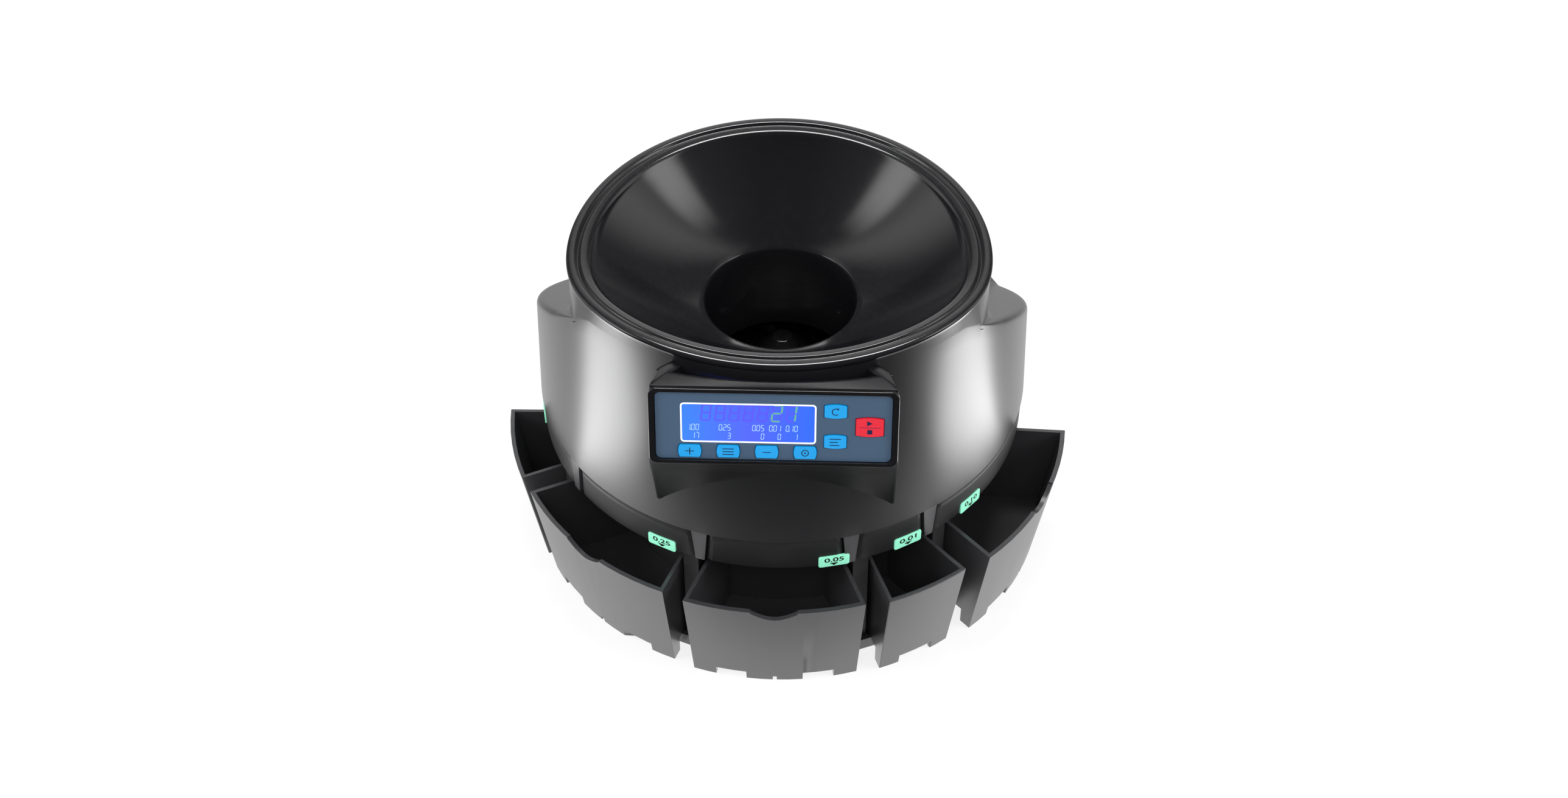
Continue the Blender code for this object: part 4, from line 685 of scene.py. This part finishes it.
def make_hopper():
    """Hopper: rings at plan directions round the bowl's middle.

    Outside, a ring follows the rim's outline moved out by grow and lies drop below the rim
    plane; inside, rings go from the rim's edge to the round throat, sagging by a parabola.
    """
    turn = np.linspace(0, 2 * math.pi, 361)[:-1]
    direction = np.stack((np.sin(turn), -np.cos(turn)), -1)

    def ring(grow, drop):
        reach = rim_reach(direction, RIM_FRONT_Z - RIM_H, grow)
        x, y = (direction * reach[:, None]).T
        y = y - BOWL_CENTRE_Y
        return np.stack((x, y, rim_height(y) - drop), -1)

    def level(radius, z):
        x, y = (direction * radius).T
        return np.stack((x, y - BOWL_CENTRE_Y, np.full_like(x, z)), -1)
    outer = np.array([ring(grow, drop) for grow, drop in eased(RIM_SECTION, RIM_ROUNDS, 9)])
    edge, under_edge = outer[-1], ring(-CONE_EDGE, CONE_UNDER)
    throat, under_throat = level(THROAT_R, THROAT_TOP_Z), level(THROAT_R + BOWL_T, THROAT_TOP_Z - NECK_T)
    shares = np.linspace(0, 1, 26)[1:]
    sag = CONE_SAG * (1 - (2 * shares - 1) ** 2)[:, None]
    cone, under = lerp(edge, throat, shares), lerp(under_edge, under_throat, shares)
    cone[..., 2] -= sag
    under[..., 2] -= sag
    tube_top, tube_end = THROAT_TOP_Z - THROAT_ROUND, THROAT_LOW_Z + THROAT_END
    neck = corner_rows(cone[-2], throat, level(THROAT_R, tube_top), 7)
    tube = np.array([level(THROAT_R, z) for z in np.linspace(tube_top, tube_end, 8)[1:]])
    outside = np.array([level(THROAT_R + BOWL_T, z) for z in (tube_end, *THROAT_STEPS_Z)])
    rings = np.concatenate((outer, cone[:-2], neck, tube, outside, under[::-1], under_edge[None]))
    mesh = welded(grid_mesh("hopper_shell", rings, close_rows=True, close_columns=True), True)
    return piece(mesh, "frame", GLOSS_BLACK, ("hopper_bowl",), 60)


# Display pod

def make_pod():
    """Display pod: rings at levels, each a bowed front with round corners and sides to the wall.

    A level is (half width, front y, bow, height, half width at the wall); the levels follow a
    path with round corners from the underside, up the face, over the lip, down into the trough
    behind it and back to the wall.
    The underside is scooped by a parabola across and up.
    """
    tilt = math.radians(POD_TILT)
    in_y, up_z = PANEL_H / 2 * math.sin(tilt), PANEL_H / 2 * math.cos(tilt)
    low_y, low_z, top_y, top_z = -POD_FACE_Y - in_y, POD_FACE_Z - up_z, -POD_FACE_Y + in_y, POD_FACE_Z + up_z

    def level(half, y, bow, z):
        rise = (z - POD_UNDER[3]) / (POD_LIP[3] - POD_UNDER[3])
        return (half, y, bow, z, POD_FOOT_HALF - (POD_FOOT_HALF - POD_NECK_HALF) * rise)
    stops = [level(*POD_UNDER), level(POD_UNDER[0], low_y, 0, low_z),
             level(POD_HALF_FACE, top_y, 0, top_z), level(*POD_LIP)]
    stops += [(half, y, bow, POD_LIP[3] - drop, root) for half, y, bow, drop, root in POD_TROUGH]
    path = eased(stops, POD_ROUNDS, 7)
    segments = [path[:1]]
    for a, b in zip(path, path[1:]):
        count = max(1, int(np.linalg.norm((b - a)[[1, 3]]) / POD_ROW_H))
        segments.append(a + (b - a) * (np.arange(1, count + 1) / count)[:, None])
    path = np.concatenate(segments)
    half, front, bow, z, root = (path[:, k][:, None] for k in range(5))
    share = np.linspace(-1, 1, 61)[None]
    inner_y = -wall_radius(POD_UNDER[3]) * POD_ROOT_SHARE * np.ones_like(half)
    across = (half - POD_CORNER) * share
    scoop = POD_SCOOP * (1 - share ** 2) ** POD_SCOOP_POWER * np.clip((low_z - z) / POD_SCOOP_H, 0, 1)
    front_y = front + bow * share ** 2 + scoop
    side_y = front + bow
    t = np.linspace(0, 1, 8)[None, 1:-1]
    length = np.hypot(root - half, inner_y - side_y)
    flank_end_x = half + (root - half) / length * POD_CORNER
    flank_end_y = side_y + (inner_y - side_y) / length * POD_CORNER
    arc_x = bend(t, flank_end_x, half, half - POD_CORNER)
    arc_y = bend(t, flank_end_y, side_y, side_y)
    s = np.linspace(0, 1, 9)[None]
    flank_x, flank_y = root + (flank_end_x - root) * s, inner_y + (flank_end_y - inner_y) * s
    x = np.concatenate((-flank_x, -arc_x, across, arc_x[:, ::-1], flank_x[:, ::-1]), 1)
    y = np.concatenate((flank_y, arc_y, front_y, arc_y[:, ::-1], flank_y[:, ::-1]), 1)
    radius, floor_r = np.hypot(x, y), wall_radius(z) - POD_SINK
    push = np.where(radius < floor_r, floor_r / radius, 1.0)
    points = np.stack((x * push, y * push, np.broadcast_to(z, x.shape)), -1)
    middle = points.shape[1] // 2
    rows_z = (points[1:, middle, 2] + points[:-1, middle, 2]) / 2
    columns_x = (points[0, 1:, 0] + points[0, :-1, 0]) / 2
    facing = np.zeros(points.shape[1] - 1, bool)
    first = s.shape[1] + t.shape[1]
    facing[first:first + share.shape[1] - 1] = True
    behind_face = (rows_z > low_z + POCKET_INSET) & (rows_z < top_z - POCKET_INSET)
    keep = ~(behind_face[:, None] & (facing & (np.abs(columns_x) < POCKET_HALF))[None])
    made = piece(grid_mesh("pod_shell", points, keep), "frame", POD_BLACK, ("display_housing",),
                 50)
    return thicken(made, POD_WALL_T)


def loop_sweep(name, outlines):
    """Closed band through outlines of equal count, given in the display face's frame."""
    made = grid_mesh(name, on_face(np.array(outlines)), close_rows=True, close_columns=True)
    return welded(made, True)


def at_height(outline, z):
    """Flat outline lifted to a height above the face."""
    return np.column_stack((outline, np.full(len(outline), z)))


def make_bezel():
    """Bezel: a round-cornered frame whose section runs up, over two rounds and in to the window."""
    section = eased(((0.0, BEZEL_LOW), (0.0, BEZEL_TOP), (BEZEL_W, BEZEL_TOP), (BEZEL_W, BEZEL_LOW)),
                    BEZEL_ROUNDS, 7)
    outlines = [at_height(rounded_outline(PANEL_W - 2 * inset, PANEL_H - 2 * inset,
                                          max(PANEL_CORNER - inset, BEZEL_CORNER)), z)
                for inset, z in section if inset < BEZEL_TURN_IN]
    inner = rounded_outline(WINDOW_W, WINDOW_H, WINDOW_CORNER)
    outlines += [at_height(inner, BEZEL_TOP - BEZEL_DROP), at_height(inner, BEZEL_LOW)]
    return piece(loop_sweep("bezel_frame", outlines), "frame", GLOSS_BLACK, ("display_bezel",),
                 40)


def make_lcd_frame():
    """White line round the display glass, a thin raised band between two outlines."""
    outer, inner = (rounded_outline(LCD_W + 2 * grow, LCD_H + 2 * grow, corner) + (LCD_X, LCD_Y)
                    for grow, corner in LCD_LINE)
    low, high = OVERLAY_TOP - LCD_LINE_LOW, OVERLAY_TOP + LCD_LINE_HIGH
    outlines = [at_height(outer, low), at_height(outer, high), at_height(inner, high),
                at_height(inner, low)]
    piece(loop_sweep("lcd_line", outlines), "frame", FRAME_WHITE)


SEGMENTS = {"0": "abcdef", "1": "bc", "2": "abged", "3": "abgcd", "4": "fgbc", "5": "afgcd",
            "6": "afgedc", "7": "abc", "8": "abcdefg", "9": "abcdfg"}
ENDS = {"a": ((0, 2), (1, 2)), "b": ((1, 2), (1, 1)), "c": ((1, 1), (1, 0)), "d": ((0, 0), (1, 0)),
        "e": ((0, 1), (0, 0)), "f": ((0, 2), (0, 1)), "g": ((0, 1), (1, 1))}


def digit_bars(words, left, low, high, step, stroke, form):
    """Seven-segment figures: each bar is a hexagon along the line between its two ends."""
    polygons, spot = [], left
    slant, wide = form[0], high * form[1]
    for mark in words:
        if mark == ".":
            dot = np.array(((0, 0), (1, 0), (1, 1), (0, 1))) * stroke
            polygons.append(dot + (spot - step + wide + stroke * POINT_GAP, low))
            continue
        for bar in SEGMENTS[mark]:
            start, end = np.array(ENDS[bar]) * (wide, high / 2)
            along = (end - start) / np.linalg.norm(end - start)
            side = np.array((-along[1], along[0])) * stroke / 2
            start, end = start + along * stroke * BAR_GAP, end - along * stroke * BAR_GAP
            tip = along * stroke * BAR_TIP
            hexagon = np.array((start - tip, start - side, end - side, end + tip, end + side,
                                start + side))
            polygons.append(hexagon + (spot, low))
        spot += step
    return [p + np.stack(((p[:, 1] - low) * slant, np.zeros(len(p))), -1) for p in polygons]


def set_down(name, polygons, height, look, body="frame"):
    """Flat print at a height above the display face."""
    laid = [on_face(at_height(polygon, height)) for polygon in polygons]
    piece(flat_mesh(name, laid), body, look)


def make_digits():
    """Figures on the display: one large count, pale values with their counts, and faint eights."""
    height = OVERLAY_TOP + FIGURE_RISE
    ghost, large = (digit_bars(words, left, LARGE_LOW, high, LARGE_STEP, stroke, LARGE_FORM)
                    for words, left, high, stroke in (GHOST, COUNT))
    small = []
    for number, count, x in VALUES:
        inner = x + SMALL_STEP * (3 - len(count))
        for words, left, low in zip((number, count), (x, inner), SMALL_ROWS):
            small += digit_bars(words, left, low, SMALL_H, SMALL_STEP, SMALL_STROKE, SMALL_FORM)
    set_down("ghost_figures", ghost, height, GHOST_DIGIT)
    set_down("count_figures", large, height + FIGURE_RISE, LIT_DIGIT)
    set_down("value_figures", small, height, PALE_DIGIT)


def ring_shape(radius, stroke, start, end):
    """Part of a flat ring between two angles, as quads."""
    arc = circle(np.radians(np.linspace(start, end, 40)))
    outer, inner = arc * (radius + stroke / 2), arc * (radius - stroke / 2)
    return [np.array(quad) for quad in zip(inner, outer, outer[1:], inner[1:])]


def bar_shape(x0, y0, x1, y1, stroke):
    """Straight stroke with round ends."""
    turn, lead = np.linspace(-math.pi / 2, math.pi / 2, 7), math.atan2(y1 - y0, x1 - x0)
    near = np.array((x0, y0)) + circle(lead + turn + math.pi) * stroke / 2
    far = np.array((x1, y1)) + circle(lead + turn) * stroke / 2
    return [np.concatenate((near, far))]


def lines_at(rows, line):
    """Level strokes, each given by its height and its two ends."""
    return sum((bar_shape(start, y, end, y, line) for y, start, end in rows), [])


def make_key_marks():
    """Simple marks on the keys, each riding on its key."""
    line = MARK_LINE
    triangle = np.array(((-0.0016, 0.0010), (-0.0016, 0.0044), (0.0016, 0.0027)))
    square = np.array(((-0.0014, -0.0042), (0.0014, -0.0042), (0.0014, -0.0014), (-0.0014, -0.0014)))
    arrow = np.array(((0.0004, 0.0022), (0.0019, 0.0024), (0.0015, 0.0009)))
    marks = {
        "key_plus": bar_shape(-0.0023, 0, 0.0023, 0, line) + bar_shape(0, -0.0021, 0, 0.0021, line),
        "key_minus": bar_shape(-0.0021, 0, 0.0021, 0, line),
        "key_batch": lines_at([(y, -0.0030, 0.0030) for y in (-0.0018, 0.0, 0.0018)], line),
        "key_set": ring_shape(0.0019, line, 0, 360) + bar_shape(0, 0, 0.0000001, 0, line * 2),
        "key_clear": ring_shape(0.0020, line, 50, 310) + [arrow],
        "key_report": lines_at(((0.0020, -0.0030, 0.0030), (0.0, -0.0030, 0.0014),
                                (-0.0020, -0.0030, 0.0022)), line),
        "key_start_stop": [triangle] + bar_shape(-0.0058, 0, 0.0058, 0, 0.0003) + [square],
    }
    for name, shapes in marks.items():
        set_down(name + "_mark", [shape + KEYS[name] for shape in shapes], KEY_TOP + MARK_RISE,
                 KEY_INK, name)


def make_rocker_marks():
    """On and off marks, a bar and a ring, laid on the two faces of the rocker and riding on it."""
    low, high = (np.array(corner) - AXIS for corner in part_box("power_rocker"))
    centre = (low[0] + high[0]) / 2
    foot, knee, head = np.array((high[1], 0)) + ROCKER_FACE + ((0, low[2]), (0, low[2]), (0, high[2]))
    polygons = []
    for start, end, shapes in ((foot, knee, ring_shape(0.0013, ROCKER_LINE, 0, 360)),
                               (knee, head, bar_shape(0, -0.0014, 0, 0.0014, ROCKER_LINE))):
        along = (end - start) / np.linalg.norm(end - start)
        outward = np.array((along[1], -along[0]))
        middle = (start + end) / 2 + outward * ROCKER_RISE
        polygons += [np.column_stack((centre - shape[:, 0], middle + shape[:, 1:] * along))
                     for shape in shapes]
    piece(flat_mesh("rocker_marks", polygons), "power_rocker", FRAME_WHITE)


# Outlet panels and labels

def make_panels():
    """Outlet panels: between each two posts, a band that follows the wall, its ends folded back.

    The distance behind the wall grows towards each end, and the lower edge turns in.
    """
    share = np.concatenate((np.linspace(0, 0.05, 4)[:-1], np.linspace(0.05, 0.95, 50),
                            np.linspace(0.95, 1, 4)[1:]))[None]
    path = eased(((PANEL_FOOT_IN, PANEL_LOW_Z), (PANEL_BEHIND, PANEL_LOW_Z),
                  (PANEL_BEHIND, BODY_EDGE_Z - PANEL_GAP)), (PANEL_FOOT_ROUND,), 5)
    path = np.concatenate((path, [(PANEL_BEHIND, z) for z in PANEL_ROWS_Z]))
    path = path[np.lexsort((path[:, 1], -path[:, 0]))]
    behind, z = path[:, :1], path[:, 1:]
    rise = (z - PANEL_LOW_Z) / (BODY_EDGE_Z - PANEL_LOW_Z)
    wall = wall_radius(z) - behind
    lean = np.degrees(np.arcsin((post_width(z) / 2 + PANEL_GAP) / wall))
    for number, (left, right) in enumerate(zip(POSTS, POSTS[1:]), 1):
        degrees = left + lean + (right - left - 2 * lean) * share
        from_end = np.radians(np.minimum(degrees - left - lean, right - lean - degrees)) * wall
        fold = PANEL_FOLD * np.clip(1 - from_end / (PANEL_FOLD_W + PANEL_FOLD_MORE * (1 - rise)), 0, 1)
        points = about_axis(wall - fold, np.radians(degrees), z)
        replaced = ("outlet_panels",) if number == 1 else ()
        thicken(piece(grid_mesh("outlet_panel_%d" % number, points), "frame", MATT_BLACK, replaced,
                      12), PANEL_T)


def on_label(points, degrees, lift):
    """Flat points, x along and y up from the label's lower edge, laid round the wall at an angle."""
    radius = wall_radius(LABEL_WALL_Z) + lift
    return about_axis(radius, math.radians(degrees) + points[:, 0] / radius, LABEL_LOW_Z + points[:, 1])


def make_labels():
    """Number labels: a round-cornered mint plate with a faint painted glow, bent to the wall, with a figure
    and a pointer.
    """
    outline = rounded_outline(LABEL_W, LABEL_H, LABEL_CORNER)
    edge_share, top = LABEL_RINGS[-1]
    rings = LABEL_RINGS + tuple((edge_share * share, top) for share in np.linspace(1, 0, 12)[1:])
    pointer = np.array(POINTER) * (1, LABEL_H)
    for number, (words, degrees) in enumerate(LABELS, 1):
        plate = [on_label(outline * share + (0, LABEL_H / 2), degrees, lift) for share, lift in rings]
        piece(grid_mesh("label_%d" % number, plate, close_columns=True), "frame", LABEL_MINT_PAINTED_GLOW)
        points, faces = text_points(words, FIGURE_SIZE, FIGURE_BOLD)
        points[:, 0] *= FIGURE_W / np.ptp(points[:, 0])
        points[:, 1] += LABEL_H * FIGURE_Y
        faces.append((len(points) + 2, len(points) + 1, len(points)))
        points = np.concatenate((points[:, :2], pointer))
        mesh = bpy.data.meshes.new("label_figure_%d" % number)
        mesh.from_pydata((on_label(points, degrees, FIGURE_LIFT) + AXIS).tolist(), [], faces)
        piece(mesh, "frame", LABEL_INK)


# Carried-over CAD nodes

def smooth_steps():
    """Geometry nodes that join a CAD node's loose triangles and shade its gentle edges smooth."""
    tree = bpy.data.node_groups.new("smooth_steps", "GeometryNodeTree")
    for way in ("INPUT", "OUTPUT"):
        tree.interface.new_socket("Geometry", in_out=way, socket_type="NodeSocketGeometry")
    whole = put(tree, "GeometryNodeMergeByDistance",
                {0: put(tree, "NodeGroupInput").outputs[0], "Distance": JOIN_REACH}).outputs[0]
    faces = put(tree, "GeometryNodeSetShadeSmooth", {0: whole}, domain="FACE").outputs[0]
    turn = put(tree, "GeometryNodeInputMeshEdgeAngle").outputs[0]
    sharp = put(tree, "FunctionNodeCompare", {0: turn, 1: math.radians(SMOOTH_UP_TO)},
                operation="GREATER_THAN").outputs[0]
    edges = put(tree, "GeometryNodeSetShadeSmooth",
                {0: faces, "Selection": sharp, "Shade Smooth": False}, domain="EDGE").outputs[0]
    put(tree, "NodeGroupOutput", {0: edges})
    return tree


def dress(name, look, round_edge, segments=2, smooth=None):
    """CAD node with its finish; its loose triangles are joined and its edges rounded by modifiers."""
    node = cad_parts[name]
    node.data.materials.clear()
    node.data.materials.append(look)
    if smooth:
        node.modifiers.new("smooth", "NODES").node_group = smooth
    if round_edge:
        node.modifiers.new("join", "WELD").merge_threshold = JOIN_REACH
        plane = node.modifiers.new("planes", "DECIMATE")
        plane.decimate_type, plane.angle_limit = "DISSOLVE", math.radians(FLAT_WITHIN)
        soften(node, round_edge, segments)


def dress_nodes():
    """Gives every CAD node that stays its finish and its edge rounds."""
    smooth = smooth_steps()
    for number in range(1, 6):
        dress("drawer_%d" % number, DRAWER_GREY_AND_POST_SHEEN, 0.0006, 3, smooth)
        dress("coin_chute_%d" % number, MATT_BLACK, 0.0003)
    for look, edge, names in (
            (DRAWER_GREY_AND_POST_SHEEN, 0.0006, "base_tray"), (RUBBER, 0.0005, "foot_1 foot_2 foot_3 foot_4"),
            (MATT_BLACK, 0.0004, "drawer_bay mechanism_deck power_inlet"),
            (MATT_BLACK, 0.0005, "count_sensor switch_frame"), (MATT_BLACK, 0.0008, "gearbox"),
            (STEEL, 0.0003, "sorting_ring sorting_disc drive_shaft"), (STEEL, 0.0002, "shaft_bearing"),
            (STEEL, 0.0006, "motor"), (COPPER, 0.0006, "transformer"),
            (GLOSS_BLACK, 0.0008, "disc_hub"), (GLOSS_BLACK, 0.0006, "power_rocker"),
            (BOARD, 0.0, "control_board power_board display_board"),
            (OVERLAY, 0.0, "keypad_overlay"), (LCD_GLASS, 0.0, "lcd_module")):
        for name in names.split():
            dress(name, look, edge)
    for name in KEYS:
        dress(name, KEY_RED if name == "key_start_stop" else KEY_BLUE, 0.0003)


# Studio

def make_camera():
    """Camera at the photograph's place: turned, tilted and rolled about a target, then drawn back."""
    data = bpy.data.cameras.new("camera")
    data.lens, data.sensor_width = CAMERA_LENS, CAMERA_SENSOR
    camera = stand("camera", data)
    turn, tilt, roll = (Matrix.Rotation(math.radians(angle), 4, axis) for angle, axis in (
        (CAMERA_TURN, "Z"), (90 - CAMERA_HEIGHT_ANGLE, "X"), (CAMERA_ROLL, "Z")))
    target = Matrix.Translation(Vector(CAMERA_TARGET) + Vector(AXIS))
    camera.matrix_world = target @ turn @ tilt @ roll @ Matrix.Translation((0, 0, CAMERA_DISTANCE))
    bpy.context.scene.camera = camera


def soft_box(name, place, towards, width, height, power, seen=True):
    """Rectangular soft light at a place from the machine's axis, seen or not seen in gloss."""
    data = bpy.data.lights.new(name, "AREA")
    data.shape, data.size, data.size_y, data.energy = "RECTANGLE", width, height, power
    light = stand(name, data)
    light.location = Vector(place) + Vector(AXIS)
    light.rotation_mode = "QUATERNION"
    light.rotation_quaternion = (Vector(towards) - Vector(place)).to_track_quat("-Z", "Y")
    light.visible_camera = False
    light.visible_glossy = seen


def ray_kinds(tree):
    """Whether a ray comes from the camera, from gloss or through glass."""
    way = put(tree, "ShaderNodeLightPath").outputs
    return way["Is Camera Ray"], way["Is Glossy Ray"], way["Is Transmission Ray"]


def mixed_output(tree, kind, share, first, second):
    """Output of a tree: the first shader with a share of the second."""
    mix = put(tree, "ShaderNodeMixShader", {0: share, 1: first, 2: second})
    put(tree, kind, {"Surface": mix.outputs[0]})


def make_floor():
    """Plain pale floor: white to the camera, in gloss and through glass, and it keeps the shadow.

    Near the object the camera sees a share of the plain floor, so that its shadow shows. In
    gloss the white's strength follows stops from the front to the back.
    """
    mesh = bpy.data.meshes.new("studio_floor")
    corners = np.array(((-1, -1, 0), (1, -1, 0), (1, 1, 0), (-1, 1, 0))) * FLOOR_HALF
    mesh.from_pydata(corners.tolist(), [], [(0, 1, 2, 3)])
    floor = stand("studio_floor", mesh)
    look = bpy.data.materials.new("studio_floor")
    look.use_nodes = True
    tree = look.node_tree
    tree.nodes.clear()
    place = own_place(tree)
    camera, gloss, glass = ray_kinds(tree)
    along = put(tree, "ShaderNodeVectorMath", {0: place, 1: FLOOR_GLOSS_WAY},
                operation="DOT_PRODUCT").outputs["Value"]
    low, high = FLOOR_GLOSS_REACH
    tones = put(tree, "ShaderNodeValToRGB", {"Fac": ranged(tree, along, low, high)})
    tones.color_ramp.interpolation = "EASE"
    stops = tones.color_ramp.elements
    for y, strength in FLOOR_GLOSS[1:-1]:
        stops.new((y - low) / (high - low))
    for stop, (y, strength) in zip(stops, FLOOR_GLOSS):
        stop.position, stop.color = (y - low) / (high - low), (strength, strength, strength, 1)
    reach = put(tree, "ShaderNodeVectorMath", {0: place}, operation="LENGTH").outputs["Value"]
    far = ranged(tree, reach, *FLOOR_SHADOW_REACH, FLOOR_SHADOW_COVER, 1.0, "SMOOTHSTEP")
    cover = maths(tree, "MAXIMUM", maths(tree, "MULTIPLY", camera, far), gloss)
    strength = maths(tree, "MAXIMUM", maths(tree, "MAXIMUM", camera, glass),
                     maths(tree, "MULTIPLY", gloss, tones.outputs["Color"]))
    pale = put(tree, "ShaderNodeBsdfDiffuse", {"Color": FLOOR_TONE})
    white = put(tree, "ShaderNodeEmission", {
        "Color": WHITE, "Strength": maths(tree, "MULTIPLY", strength, FLOOR_WHITE)})
    mixed_output(tree, "ShaderNodeOutputMaterial", maths(tree, "MAXIMUM", cover, glass),
                 pale.outputs[0], white.outputs[0])
    mesh.materials.append(look)


def make_world():
    """World: soft grey light, white to the camera, in gloss and through glass, dim in front.

    In gloss two upright soft boxes stand at the sides, a little in front, each fading to its edges.
    """
    world = bpy.data.worlds.new("studio")
    bpy.context.scene.world = world
    world.use_nodes = True
    tree = world.node_tree
    tree.nodes.clear()
    way = put(tree, "ShaderNodeTexCoord").outputs["Generated"]
    x, y, z = put(tree, "ShaderNodeSeparateXYZ", {0: way}).outputs
    camera, gloss, glass = ray_kinds(tree)
    aside = maths(tree, "ABSOLUTE", x)
    apart = maths(tree, "ABSOLUTE", maths(tree, "SUBTRACT", aside, maths(tree, "MAXIMUM", y, 0.0)))
    around = ranged(tree, apart, *GLOSS_AROUND, "SMOOTHSTEP")
    from_front = ranged(tree, y, *GLOSS_BACK, "SMOOTHSTEP")
    plan = put(tree, "ShaderNodeCombineXYZ", {"X": aside, "Y": y}).outputs[0]
    facing = put(tree, "ShaderNodeVectorMath", {0: plan}, operation="NORMALIZE").outputs[0]
    ahead = put(tree, "ShaderNodeVectorMath", {0: facing, 1: SIDE_BOX_WAY},
                operation="DOT_PRODUCT").outputs["Value"]
    box = maths(tree, "MULTIPLY", ranged(tree, ahead, *SIDE_BOX_ACROSS, easing="SMOOTHSTEP"),
                ranged(tree, z, *SIDE_BOX_UP, easing="SMOOTHSTEP"))
    in_gloss = maths(tree, "ADD", maths(tree, "MULTIPLY", box, SIDE_BOX_GLOSS),
                     maths(tree, "MULTIPLY", from_front, around))
    seen = maths(tree, "MAXIMUM", camera, glass)
    strength = maths(tree, "MAXIMUM", seen, maths(tree, "MULTIPLY", gloss, in_gloss))
    soft = put(tree, "ShaderNodeBackground", {"Color": WHITE, "Strength": WORLD_LIGHT})
    white = put(tree, "ShaderNodeBackground", {"Color": WHITE, "Strength": strength})
    mixed_output(tree, "ShaderNodeOutputWorld", maths(tree, "MAXIMUM", seen, gloss),
                 soft.outputs[0], white.outputs[0])


def make_lights():
    """Low boxes beside the wall, high boxes at the sides and in front, and an overhead strip."""
    for side, word, out, ahead in ((-1, "left", 0.378, 0.146), (1, "right", 0.398, 0.088)):
        soft_box("low_box_" + word, (side * out, -ahead, 0.006), (side * out, -ahead, 1.0), 0.26, 0.17,
                 0.62)
        soft_box("side_box_" + word, (side * 1.30, -0.45, 0.95), (0, 0, 0.12), 0.7, 0.7, 17.0, False)
    soft_box("top_strip", (0, 0.25, 1.60), (0, 0, 0.20), 0.90, 0.28, 12.5)
    soft_box("front_box", (0, -1.15, 1.35), (0, 0, 0.10), 1.2, 0.7, 9.5, False)


make_housing()
make_hopper()
make_pod()
make_bezel()
make_lcd_frame()
make_digits()
make_key_marks()
make_rocker_marks()
make_panels()
make_labels()
dress_nodes()
make_camera()
make_floor()
make_world()
make_lights()

scene = bpy.context.scene
scene.view_settings.view_transform = "Standard"
